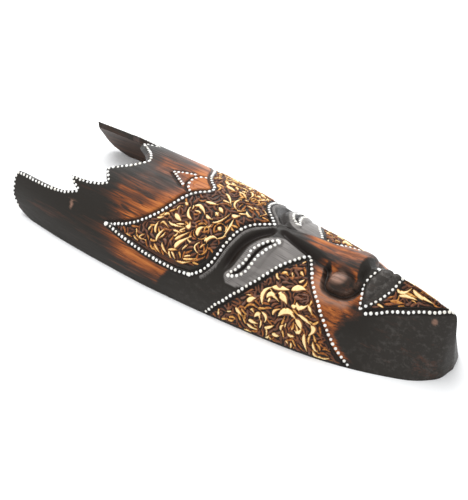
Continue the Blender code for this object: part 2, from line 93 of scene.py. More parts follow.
# the lines of the carving, each a list of (girth, place)
drawn = {
    "crownEdge": [(0.000, 0.226), (0.055, 0.235), (0.110, 0.249), (0.175, 0.272), (0.238, 0.290),
        (0.293, 0.280), (0.343, 0.271), (0.374, 0.285), (0.402, 0.308), (0.416, 0.332), (0.424, 0.357),
        (0.457, 0.351), (0.486, 0.343), (0.515, 0.327), (0.548, 0.341), (0.572, 0.357), (0.592, 0.386),
        (0.602, 0.412), (0.608, 0.443), (0.613, 0.493), (0.680, 0.500), (0.755, 0.499), (0.831, 0.496),
        (0.883, 0.490), (0.935, 0.478), (0.968, 0.460), (1.000, 0.436)],
    "leafTop": [(0.000, 0.054), (0.030, 0.057), (0.080, 0.073), (0.137, 0.087), (0.214, 0.098),
        (0.288, 0.107), (0.357, 0.117), (0.425, 0.130), (0.485, 0.144), (0.539, 0.161), (0.593, 0.183),
        (0.656, 0.222)],
    "leafFoot": [(0.000, -0.095), (0.035, -0.086), (0.095, -0.069), (0.149, -0.057), (0.215, -0.048),
        (0.288, -0.043), (0.356, -0.039), (0.425, -0.036), (0.495, -0.034), (0.560, -0.031),
        (0.620, -0.024), (0.677, -0.014), (0.731, 0.003), (0.747, 0.035), (0.742, 0.075), (0.728, 0.117),
        (0.708, 0.156), (0.685, 0.191), (0.656, 0.222)],
    "cheekTop": [(0.116, -0.193), (0.160, -0.184), (0.240, -0.171), (0.324, -0.157), (0.444, -0.141),
        (0.560, -0.124), (0.677, -0.105), (0.780, -0.086), (0.874, -0.068), (1.000, -0.046)],
    "cheekFront": [(0.116, -0.193), (0.154, -0.203), (0.237, -0.216), (0.314, -0.227), (0.398, -0.242),
        (0.477, -0.257), (0.563, -0.271), (0.666, -0.287), (0.751, -0.300), (0.849, -0.316),
        (0.930, -0.334), (1.000, -0.352)],
    "petal": [(0.000, 0.156), (0.022, 0.145), (0.052, 0.132), (0.080, 0.117)],
    "arch": [(0.000, 0.109), (0.035, 0.108), (0.066, 0.105), (0.090, 0.100), (0.106, 0.094)],
    "chinEdge": [(0.438, -0.341), (0.403, -0.361), (0.290, -0.410), (0.098, -0.465), (0.000, -0.482)],
    "browChannel": [(0.60, -0.056), (0.50, -0.061), (0.40, -0.064), (0.30, -0.070), (0.21, -0.080),
        (0.12, -0.095), (0.04, -0.112)],
    "eyeSlit": [(0.595, -0.074), (0.540, -0.087), (0.480, -0.0955), (0.410, -0.0990), (0.330, -0.1020),
        (0.250, -0.1080), (0.190, -0.117), (0.142, -0.128)],
    "eyeUpper": [(0.595, -0.074), (0.556, -0.077), (0.527, -0.083), (0.489, -0.087), (0.456, -0.090),
        (0.418, -0.092), (0.356, -0.094), (0.327, -0.093), (0.290, -0.096), (0.255, -0.100),
        (0.208, -0.108), (0.178, -0.115), (0.142, -0.125)],
    "eyeLower": [(0.586, -0.083), (0.568, -0.090), (0.545, -0.097), (0.512, -0.102), (0.444, -0.107),
        (0.387, -0.108), (0.357, -0.109), (0.294, -0.114), (0.230, -0.120), (0.197, -0.125),
        (0.152, -0.131)],
    "noseChannel": [(0.030, -0.112), (0.070, -0.150), (0.100, -0.185), (0.126, -0.213), (0.150, -0.235)],
    "wingGroove": [(0.150, -0.238), (0.200, -0.243), (0.250, -0.246), (0.300, -0.250), (0.338, -0.258),
        (0.356, -0.271), (0.356, -0.286), (0.338, -0.298), (0.300, -0.306), (0.250, -0.310),
        (0.190, -0.312)],
    "upperLip": [(0.00, -0.329), (0.06, -0.322), (0.11, -0.317), (0.17, -0.316), (0.25, -0.320),
        (0.34, -0.324), (0.40, -0.328)],
    "lipCrease": [(0.00, -0.358), (0.10, -0.351), (0.20, -0.343), (0.30, -0.335), (0.40, -0.329)],
    "lowerLip": [(0.00, -0.376), (0.11, -0.370), (0.19, -0.363), (0.27, -0.353), (0.35, -0.339),
        (0.40, -0.330)],
    # the smooth lid, grey with a painted sheen over its black lacquer, from its inner corner over the top and
    # back along the cheek
    "lidZone": [(0.085, -0.140), (0.110, -0.122), (0.150, -0.109), (0.220, -0.096), (0.320, -0.085),
        (0.420, -0.081), (0.520, -0.076), (0.600, -0.066), (0.650, -0.074), (0.655, -0.092),
        (0.610, -0.113), (0.560, -0.121), (0.444, -0.138), (0.324, -0.154), (0.240, -0.168),
        (0.160, -0.181), (0.120, -0.186), (0.100, -0.165), (0.085, -0.140)],
}

carving = {
    "noseHeight": 11.5 * mm,
    "noseProfile": [(-0.325, 0.74), (-0.295, 0.86), (-0.252, 1.00), (-0.210, 0.90),
                    (-0.161, 0.62), (-0.130, 0.27), (-0.100, 0.00)],
    "noseHalfWidth": [(-0.310, 0.118), (-0.255, 0.105), (-0.207, 0.068), (-0.161, 0.040),
                      (-0.100, 0.012)],
    "noseEnd": (-0.313, -0.300),
    "noseFlank": 0.055,                        # girth over which the bar falls off
    "noseRound": 0.18,
    "wingHeight": 6.2 * mm,
    "wingPlace": (0.222, -0.277),
    "wingReach": (0.118, 0.028),
    "wingGroove": (7.8 * mm, 3.4 * mm),        # width, depth
    "channels": {                              # width, depth, shares that run out at the ends
        "browChannel": (11.0 * mm, 3.8 * mm, 0.25, 0.12),
        "eyeSlit": (4.8 * mm, 3.0 * mm, 0.16, 0.20),
        "noseChannel": (7.4 * mm, 2.2 * mm, 0.12, 0.50),
    },
    "lidHeight": 2.2 * mm,
    "lidReach": 0.024,
    "lipHeight": 3.0 * mm,
    "lowerLipShare": 0.66,
    "lipCrease": (3.7 * mm, 0.8 * mm),
    "mouthCorner": 0.40,
    "groove": (3.7 * mm, 1.9 * mm),
    "grooveSetback": 2.9 * mm,                 # from a row of dots to the middle of its V-cut
    "browGroove": (1.9 * mm, 0.9 * mm, 2.5 * mm),   # width, depth, distance outside the leaf's foot
    "browRib": (3.2 * mm, 1.0 * mm, 4.7 * mm),
}


def eased(x, low, high):
    # smooth step: 0 at low, 1 at high
    t = np.clip((x - low) / (high - low), 0.0, 1.0)
    return t * t * (3.0 - 2.0 * t)


def fading(x, low, high):
    # 1 at low, 0 at high
    return 1.0 - eased(x, low, high)


def zone(x, low, first, last, high):
    # 0 below low, 1 from first to last and 0 above high
    return eased(x, low, first) * fading(x, last, high)


def smoothCurve(knots, values, x):
    # cubic through the knots, its slopes the harmonic means of the steps, so that it never waves
    knots = np.asarray(knots, float)
    values = np.asarray(values, float)
    step = np.diff(knots)
    slope = np.diff(values) / step
    tangent = np.zeros_like(values)
    tangent[0] = slope[0]
    tangent[-1] = slope[-1]
    before = 2.0 * step[1:] + step[:-1]
    after = step[1:] + 2.0 * step[:-1]
    sameWay = slope[1:] * slope[:-1] > 0.0
    safeLow = np.where(sameWay, slope[:-1], 1.0)
    safeHigh = np.where(sameWay, slope[1:], 1.0)
    tangent[1:-1] = np.where(sameWay, (before + after) / (before / safeLow + after / safeHigh), 0.0)
    i = np.clip(np.searchsorted(knots, x) - 1, 0, len(knots) - 2)
    t = np.clip((x - knots[i]) / step[i], 0.0, 1.0)
    start = values[i] * (2 * t**3 - 3 * t**2 + 1) + tangent[i] * step[i] * (t**3 - 2 * t**2 + t)
    return start + values[i + 1] * (3 * t**2 - 2 * t**3) + tangent[i + 1] * step[i] * (t**3 - t**2)


def readCurve(points, x):
    ordered = sorted(points)
    return smoothCurve([p[0] for p in ordered], [p[1] for p in ordered], x)


def sectionsAt(station, girth, samples=201):
    # each section is a rational quadratic from the ridge (0, high) to the rim (half, 0), pulled
    # towards its corner by the weight "full", and read at equal shares of its own length
    numbers = np.arange(len(sectionList), dtype=float)
    rim, ridge, half, high, across, up, full = [
        smoothCurve(numbers, sectionList[:, k], station)[:, None] for k in range(7)]
    half = half * maskWidth / 2.0
    high = high * form["ridgeHeight"]
    t = np.linspace(0.0, 1.0, samples)[None, :]
    first = (1.0 - t) ** 2
    middle = 2.0 * full * t * (1.0 - t)
    last = t ** 2
    weight = first + middle + last
    x = (middle * across * half + last * half) / weight
    y = ((first + 0.5 * middle) * ridge + (0.5 * middle + last) * rim) / weight * maskLength
    z = (first * high + middle * up * high) / weight
    walk = np.sqrt(np.diff(x, axis=1) ** 2 + np.diff(y, axis=1) ** 2 + np.diff(z, axis=1) ** 2)
    walk = np.concatenate([np.zeros((len(station), 1)), np.cumsum(walk, axis=1)], axis=1)
    length = walk[:, -1]
    lift = 2.0 * np.arange(len(station))[:, None]
    share = walk / length[:, None] + lift
    wanted = girth[None, :] + lift
    parts = [np.interp(wanted.ravel(), share.ravel(), part.ravel()).reshape(wanted.shape)
             for part in (x, y, z)]
    return np.stack(parts, axis=2), length


numbersLine = np.arange(len(sectionList), dtype=float)
stationPlace = smoothCurve(numbersLine, (sectionList[:, 0] + sectionList[:, 1]) / 2.0, stationLine)


def frontGrid(girth, places):
    # undecorated front: one row of places for each row of points, one girth for each column
    table, length = sectionsAt(stationLine, girth)
    points = np.empty(places.shape + (3,))
    lengths = np.empty(places.shape)
    for column in range(len(girth)):
        for axis in range(3):
            points[:, column, axis] = np.interp(places[:, column], stationPlace, table[:, column, axis])
        lengths[:, column] = np.interp(places[:, column], stationPlace, length)
    return points, lengths


def frontPoints(girth, place):
    # undecorated front at scattered places: points, and the girth length at each
    table, length = sectionsAt(stationLine, girth)
    y = place * maskLength
    points = np.stack([[np.interp(y[k], table[:, k, 1], table[:, k, axis]) for axis in range(3)]
                       for k in range(len(girth))])
    return points, np.array([np.interp(y[k], table[:, k, 1], length) for k in range(len(girth))])


def frontNormals(girth, place, step=0.004):
    # cross product of the steps along the mask and round it
    side, _ = frontPoints(np.clip(girth + step, 0.0, 1.0), place)
    inner, _ = frontPoints(np.clip(girth - step, 0.0, 1.0), place)
    ahead, _ = frontPoints(girth, place + step)
    behind, _ = frontPoints(girth, place - step)
    normal = np.cross(side - inner, ahead - behind)
    return normal / np.linalg.norm(normal, axis=1)[:, None]


def refined(shares, pieces):
    # girth and place along a smooth path through the points, in so many pieces to each step
    shares = np.asarray(shares, float)
    knots = np.arange(len(shares), dtype=float)
    at = np.linspace(0.0, knots[-1], pieces * (len(shares) - 1) + 1)
    return np.interp(at, knots, shares[:, 0]), smoothCurve(knots, shares[:, 1], at)


def unrolled(shares):
    # a smooth path through (girth, place) points, in metres on the unrolled front
    girth, place = refined(shares, 5)
    table, length = sectionsAt(stationLine, girth, samples=81)
    around = [np.interp(p * maskLength, table[:, k, 1], length) for k, p in enumerate(place)]
    return np.stack([girth * np.array(around), place * maskLength], axis=1)


def distanceTo(path, across, along):
    # distance of every grid point from a path, and the share of the path at the nearest point
    best = np.full(across.shape, 1.0)
    share = np.zeros(across.shape)
    steps = np.linalg.norm(np.diff(path, axis=0), axis=1)
    total = steps.sum()
    walked = 0.0
    for start, end, step in zip(path[:-1], path[1:], steps):
        direction = (end - start) / step
        run = (across - start[0]) * direction[0] + (along - start[1]) * direction[1]
        run = np.clip(run, 0.0, step)
        gap = np.hypot(across - start[0] - direction[0] * run, along - start[1] - direction[1] * run)
        nearer = gap < best
        best = np.where(nearer, gap, best)
        share = np.where(nearer, (walked + run) / total, share)
        walked += step
    return best, share


def gapTo(path, across, along):
    return distanceTo(path, across, along)[0]


def setBack(path, offset):
    # the path moved sideways; positive is to the left of its direction
    along = np.gradient(path, axis=0)
    along /= np.linalg.norm(along, axis=1)[:, None]
    return path + offset * np.stack([-along[:, 1], along[:, 0]], axis=1)


def insideOf(outline, across, along):
    # even-odd count of the outline's crossings beside each point
    result = np.zeros(across.shape, bool)
    for (x0, y0), (x1, y1) in zip(outline, np.roll(outline, -1, axis=0)):
        if y0 == y1:
            continue
        crosses = (y0 > along) != (y1 > along)
        result ^= crosses & (across < (x1 - x0) * (along - y0) / (y1 - y0) + x0)
    return result


def grooveAlong(path, widthDepth, across, along):
    # V-cut: depth falls off in a straight line from the middle
    gap = gapTo(path, across, along)
    return np.clip(1.0 - gap / (widthDepth[0] / 2.0), 0.0, 1.0) * widthDepth[1]


def channelAlong(path, settings, across, along):
    # round-bottomed cut: squared cosine across, running out over a share of the path at both ends
    width, depth, first, last = settings
    gap, share = distanceTo(path, across, along)
    taper = zone(share, 0.0, first, 1.0 - last, 1.0)
    reach = width / 2.0 * (0.35 + 0.65 * taper)
    return depth * taper * np.cos(np.pi / 2.0 * np.clip(gap / reach, 0.0, 1.0)) ** 2


lines = {name: unrolled(path) for name, path in drawn.items()}
print("carving lines", len(lines))
leafOutline = np.concatenate([lines["leafTop"], lines["leafFoot"][::-1]])
cheekOutline = np.concatenate([lines["cheekTop"], lines["cheekFront"][::-1]])
chinOutline = np.concatenate([lines["lowerLip"], lines["chinEdge"]])
beside = carving["grooveSetback"]
# a line has five points to a step: the brow part ends at girth 0.677, and the side starts at 0.731
browPart = lines["leafFoot"][:56]
leafSide = lines["leafFoot"][60:]
browRib = setBack(browPart, -carving["browRib"][2])
vCuts = [(path, carving["groove"]) for path in (
    setBack(lines["leafTop"], beside), setBack(lines["leafFoot"], beside),
    setBack(lines["cheekTop"], -beside), setBack(lines["cheekFront"], beside),
    setBack(lines["petal"], beside), setBack(lines["arch"], beside),
    setBack(lines["chinEdge"], -beside))]
vCuts.append((lines["wingGroove"], carving["wingGroove"]))
vCuts.append((setBack(browPart, -carving["browGroove"][2]), carving["browGroove"]))


def wingOffsets(girth, place):
    # from the middle of the nose's wing, as shares of its reach
    middle, reach = carving["wingPlace"], carving["wingReach"]
    return (girth - middle[0]) / reach[0], (place - middle[1]) / reach[1]


def lipLines(girth):
    # places of the upper lip's edge, the crease and the lower lip's edge, and where the mouth is
    places = [readCurve(drawn[name], girth) for name in ("upperLip", "lipCrease", "lowerLip")]
    return (*places, girth < carving["mouthCorner"])


def noseRelief(girth, place):
    # a gently rounded bar that falls off at its half width, and beside its tip a wing of one minus
    # the cubes of the distances from its middle
    half = readCurve(carving["noseHalfWidth"], place)
    top = carving["noseHeight"] * readCurve(carving["noseProfile"], place)
    top = np.where(place > carving["noseProfile"][-1][0], 0.0, top)
    crown = 1.0 - carving["noseRound"] * np.clip(girth / half, 0, 1) ** 2
    bar = top * fading(girth, half, half + carving["noseFlank"]) * crown
    wingX, wingY = wingOffsets(girth, place)
    wing = carving["wingHeight"] * np.clip(1.0 - np.abs(wingX) ** 3 - np.abs(wingY) ** 3, 0.0, 1.0)
    return np.maximum(bar, wing) * eased(place, *carving["noseEnd"])


def lipRelief(girth, place):
    # parts of two sine waves between the lip lines, meeting in the crease
    top, crease, foot, mouth = lipLines(girth)
    width = fading(girth, 0.6 * carving["mouthCorner"], carving["mouthCorner"])
    fallen = np.clip((top - place) / np.maximum(top - crease, 1e-4), 0.0, 1.0)
    below = np.clip((crease - place) / np.maximum(crease - foot, 1e-4), 0.0, 1.0)
    upper = np.sin(0.82 * np.pi * fallen)
    lower = np.sin(np.pi * (0.3 + 0.7 * below))
    swell = np.where(place > crease, upper, carving["lowerLipShare"] * np.maximum(lower, 0.0))
    return np.where(mouth, carving["lipHeight"] * (0.35 + 0.65 * width) * swell, 0.0)


def lidRelief(across, along):
    # an ellipse across the slit, as wide as the almond of the eye
    gap, share = distanceTo(lines["eyeSlit"], across, along)
    almond = np.sqrt(np.clip(np.sin(np.pi * np.clip(share, 0.04, 0.96)), 0.0, 1.0))
    reach = np.maximum(carving["lidReach"] * maskLength * almond, 1e-4)
    return carving["lidHeight"] * np.sqrt(np.clip(1.0 - (gap / reach) ** 2, 0.0, 1.0))


def carvedHeight(girth, across, along):
    # height of the carving above the undecorated front, without the scrolls
    place = along / maskLength
    height = noseRelief(girth, place) + lipRelief(girth, place) + lidRelief(across, along)
    for name, settings in carving["channels"].items():
        height -= channelAlong(lines[name], settings, across, along)
    height -= grooveAlong(lines["lipCrease"], carving["lipCrease"], across, along)
    ribGap = gapTo(browRib, across, along)
    width, rise, _ = carving["browRib"]
    height += rise * np.cos(0.5 * np.pi * np.clip(2.0 * ribGap / width, 0.0, 1.0)) ** 2
    deepest = np.zeros(along.shape)
    for path, settings in vCuts:
        deepest = np.maximum(deepest, grooveAlong(path, settings, across, along))
    fade = eased(place, *form["chinTipPlain"]) * fading(girth, form["rimPlain"], 1.0)
    return (height - deepest) * fade


def outwardNormals(points):
    # normals of a grid, rows from chin to crown and columns from ridge to rim
    normal = np.cross(np.gradient(points, axis=0), np.gradient(points, axis=1))
    size = np.linalg.norm(normal, axis=2, keepdims=True)
    normal = normal / np.maximum(size, 1e-12)
    return np.where(normal[:, :1, 2:] > 0.0, normal, -normal)


# how dark the wood is burnt, with painted shade added in places, and where it is cut, lacquered with a
# painted grey sheen, worn, given a painted pinkish sheen, or rubbed with gold that carries a painted
# highlight
burnAndShade = {
    "plain": 0.52,
    "nearLeaf": (0.10, 5.0 * mm, 30.0 * mm),     # level beside the leaf, and how it fades out
    "crown": (1.00, 2.0 * mm, 36.0 * mm),
    "horn": (0.150, 0.275, 0.30, 0.50),          # places and girths over which the horns blacken
    "rim": (1.05, 0.87, 0.975),
    "black": 1.20,
    "noseTop": 0.24,
    "cheek": 0.17,
    "mouthSide": 0.11,
    # painted shade: the body of the nose's wing, away from the light, darkened to this level
    "wing": 0.80,
    "lips": 1.00,
    "petal": 0.10,                               # added to the wood between petal and arch
    "leafBase": (0.62, 0.45),                    # on the forehead's field, and more towards its foot
    "hornLean": (0.10, 0.06),                    # how the horns' edge of black leans round the mask
    "sideWidths": ((1.5, 22.0), (5.0, 12.0)),    # mm: bare width beside the mouth, and its fading
}
# where the shades fade in, and out again: places, or girths where the name says so
fades = {
    "black": (-0.006, 0.010),                    # how far below the black line
    "leaf": (-0.07, 0.0), "leafEnd": 0.20,       # read at minus the place, and the field's last place
    "petalFoot": (0.095, 0.105), "petalTop": (0.15, 0.17), "petalGirths": (0.08, 0.11),
    "cheek": (-0.345, -0.322, -0.230, -0.198), "cheekGirths": (0.07, 0.11),
    "side": (-0.262, -0.250), "sideGirths": (0.36, 0.42), "sideSpanGirths": (0.40, 0.90),
    "chin": (-0.364, -0.340),
    "nose": (-0.313, -0.296, -0.200, -0.140),
    # painted shadow: the nose's end face under its tip is made black
    "noseShadow": (-0.324, -0.314, -0.305, -0.298), "noseShadowGirth": 0.26,
    "bloomChin": (-0.40, -0.34), "bloomTemple": (0.02, 0.06), "templeGirths": (0.60, 0.75),
    # the cheek zone of the painted pinkish sheen beside the nose's wing
    "sheenAndWear": (-0.318, -0.300, -0.235, -0.215), "cheekSheenGirths": (0.14, 0.20), "cheekSheenEndGirths": (0.40, 0.50),
}
# below this line of (girth, place) the temple, brow and chin are burnt black
blackLine = drawn["leafFoot"][:13] + [(0.770, 0.050), (0.860, 0.064), (1.000, 0.078)]
# worn spots: girth, place, half length across and along in mm, strength
wornSpots = [(0.640, 0.325, 6.0, 1.6, 1.0), (0.265, -0.458, 4.0, 2.6, 0.55)]
# black beside the dotted borders, where no cut is carved: path, half width
blackEdges = [(lines["leafFoot"], 2.7 * mm), (setBack(lines["leafFoot"][48:], -1.9 * mm), 2.0 * mm),
              (lines["leafTop"], 2.6 * mm), (setBack(lines["chinEdge"], 1.8 * mm), 1.6 * mm)]


def wingAt(girth, place, low, high):
    wingX, wingY = wingOffsets(girth, place)
    return fading(wingX ** 2 + wingY ** 2, low, high)


def burnAndShadeAt(girth, across, along):
    # 0 is bare orange wood and 1 is burnt black; the same scale carries painted shade on the nose's wing
    # and a painted shadow on the nose's end face. From the plain level, a smooth step moves each part
    # towards its own level, or raises it to that at least: crown, horns, brow, chin and rim
    place = along / maskLength
    level, near, far = burnAndShade["nearLeaf"]
    topGap = gapTo(lines["leafTop"], across, along)
    footGap = gapTo(leafSide, across, along)
    leafGap = np.minimum(topGap, footGap)
    dark = burnAndShade["plain"] + (level - burnAndShade["plain"]) * fading(leafGap, near, far)
    level, near, far = burnAndShade["crown"]
    crownGap = gapTo(lines["crownEdge"], across, along)
    dark = np.maximum(dark, level * fading(crownGap, near, far))
    lowPlace, highPlace, lowGirth, highGirth = burnAndShade["horn"]
    lean, lift = burnAndShade["hornLean"]
    horn = eased(place + lean * girth, lowPlace + lift, highPlace + lift) * eased(girth, lowGirth, highGirth)
    dark = np.maximum(dark, burnAndShade["black"] * horn)
    blackPlace = np.interp(girth, *np.array(blackLine).T)
    dark = np.maximum(dark, burnAndShade["black"] * eased(blackPlace - place, *fades["black"]))
    inLeaf = insideOf(leafOutline, np.maximum(across, 1e-6), along) & (place < fades["leafEnd"])
    level, more = burnAndShade["leafBase"]
    dark = np.where(inLeaf, np.maximum(dark, level + more * eased(-place, *fades["leaf"])), dark)
    petal = eased(place, *fades["petalFoot"]) * fading(girth, *fades["petalGirths"])
    dark = dark + burnAndShade["petal"] * (petal * fading(place, *fades["petalTop"]))
    # the cheek between nose, scrolls and mouth, and the side of the mouth beyond it
    cheek = zone(place, *fades["cheek"]) * eased(girth, *fades["cheekGirths"])
    dark = dark + (burnAndShade["cheek"] - dark) * cheek
    frontGap = gapTo(lines["cheekFront"], across, along)
    side = eased(girth, *fades["sideGirths"]) * fading(place, *fades["side"])
    span = fading(girth, *fades["sideSpanGirths"])
    bare, width = [(least + more * span ** 2) * mm for least, more in burnAndShade["sideWidths"]]
    fade = np.clip((frontGap - bare) / width, 0.0, 1.0)
    sideLevel = burnAndShade["mouthSide"] + (burnAndShade["black"] - burnAndShade["mouthSide"]) * fade
    dark = dark + (sideLevel - dark) * side
    dark = np.maximum(dark, burnAndShade["black"] * fading(place, *fades["chin"]))
    half = readCurve(carving["noseHalfWidth"], place)
    nose = fading(girth, 0.75 * half, 1.10 * half) * zone(place, *fades["nose"])
    dark = dark + (burnAndShade["noseTop"] - dark) * nose
    channelGap, share = distanceTo(lines["noseChannel"], across, along)
    channelDark = fading(channelGap, 2.5 * mm, 5.0 * mm) * (1.0 - 0.5 * eased(share, 0.6, 1.0))
    dark = np.maximum(dark, channelDark)
    # painted shade over the nose's wing; its lit top gets a painted highlight in the sheen attribute
    dark = dark + (burnAndShade["wing"] - dark) * wingAt(girth, place, 0.5, 1.3)
    wingGap = gapTo(lines["wingGroove"], across, along)
    dark = np.maximum(dark, fading(wingGap, 3.0 * mm, 5.5 * mm))
    # painted shadow under the nose's tip: its end face turned black
    noseShadow = zone(place, *fades["noseShadow"]) * (girth < fades["noseShadowGirth"])
    dark = np.maximum(dark, burnAndShade["black"] * noseShadow)
    top, _, foot, mouth = lipLines(girth)
    lips = eased(top - place, 0.0, 0.004) * mouth
    dark = dark + (burnAndShade["lips"] - dark) * lips * eased(place - foot, -0.008, 0.0)
    level, near, far = burnAndShade["rim"]
    dark = np.maximum(dark, level * eased(girth, near, far))
    return np.clip(dark, 0.0, burnAndShade["black"])


def cutAt(across, along):
    # 1 in the black bottoms of the cuts: the root of a V-cut's share of its depth, and smooth steps
    # of the distance from the other edges and channels
    black = np.zeros(along.shape)
    for path, settings in vCuts:
        black = np.maximum(black, grooveAlong(path, (settings[0] * 1.1, 1.0), across, along) ** 0.5)
    for path, reach in blackEdges:
        gap = gapTo(path, across, along)
        black = np.maximum(black, fading(gap, 0.6 * reach, reach))
    for name, (width, _, first, last) in carving["channels"].items():
        gap, share = distanceTo(lines[name], across, along)
        ends = zone(share, 0.0, 0.6 * first, 1.0 - 0.6 * last, 1.0)
        black = np.maximum(black, ends * fading(gap, 0.30 * width, 0.52 * width))
    return black


def lidAt(across, along):
    # a painted grey sheen of light on the black lacquer: full on the lids, fading out over 1.5 mm beside
    # them, and a thinner painted highlight on the brow rib
    gap = gapTo(lines["lidZone"], across, along)
    grey = np.where(insideOf(lines["lidZone"], across, along), 1.0, fading(gap, 0.0, 1.5 * mm))
    ribGap = gapTo(browRib, across, along)
    return np.maximum(grey, 0.80 * fading(ribGap, 0.8 * mm, 1.9 * mm))


def bloomAt(girth, along):
    # dull grey bloom on the black lacquer, the largest of smooth steps: 2.6 on the lips, 0.9 on the
    # chin and 0.45 on the temple
    place = along / maskLength
    chin = fading(place, *fades["bloomChin"])
    temple = eased(girth, *fades["templeGirths"]) * fading(place, *fades["bloomTemple"])
    top, _, foot, mouth = lipLines(girth)
    lips = eased(top - place, 0.002, 0.010) * mouth * eased(place - foot, 0.0, 0.006)
    return np.maximum(np.maximum(0.9 * chin * (1.0 - lips), 0.45 * temple), 2.6 * lips)


def sheenAndWearAt(girth, across, along):
    # pinkish wood, the largest of smooth steps: a painted highlight round the lit top of the wing, a painted
    # sheen over the cheek beside it, and real wear on small elliptical spots where the stain is rubbed thin
    place = along / maskLength
    # painted highlight on the lit top of the nose's wing, set towards the light
    sheenAndWear = wingAt(girth + 0.018, place - 0.008, 0.08, 0.52)
    # painted pinkish sheen over the cheek beside the wing
    cheek = zone(place, *fades["sheenAndWear"]) * (1.0 - wingAt(girth, place, 0.6, 1.2))
    cheek = 0.85 * cheek * eased(girth, *fades["cheekSheenGirths"]) * fading(girth, *fades["cheekSheenEndGirths"])
    sheenAndWear = np.maximum(sheenAndWear, cheek)
    # real worn spots where the stain is rubbed thin
    lengths = across / np.maximum(girth, 1e-6)
    for spotGirth, spotPlace, halfAcross, halfAlong, strength in wornSpots:
        away = np.hypot((across - spotGirth * lengths) / (halfAcross * mm),
                        (place - spotPlace) * maskLength / (halfAlong * mm))
        sheenAndWear = np.maximum(sheenAndWear, strength * fading(away, 0.6, 1.1))
    return sheenAndWear


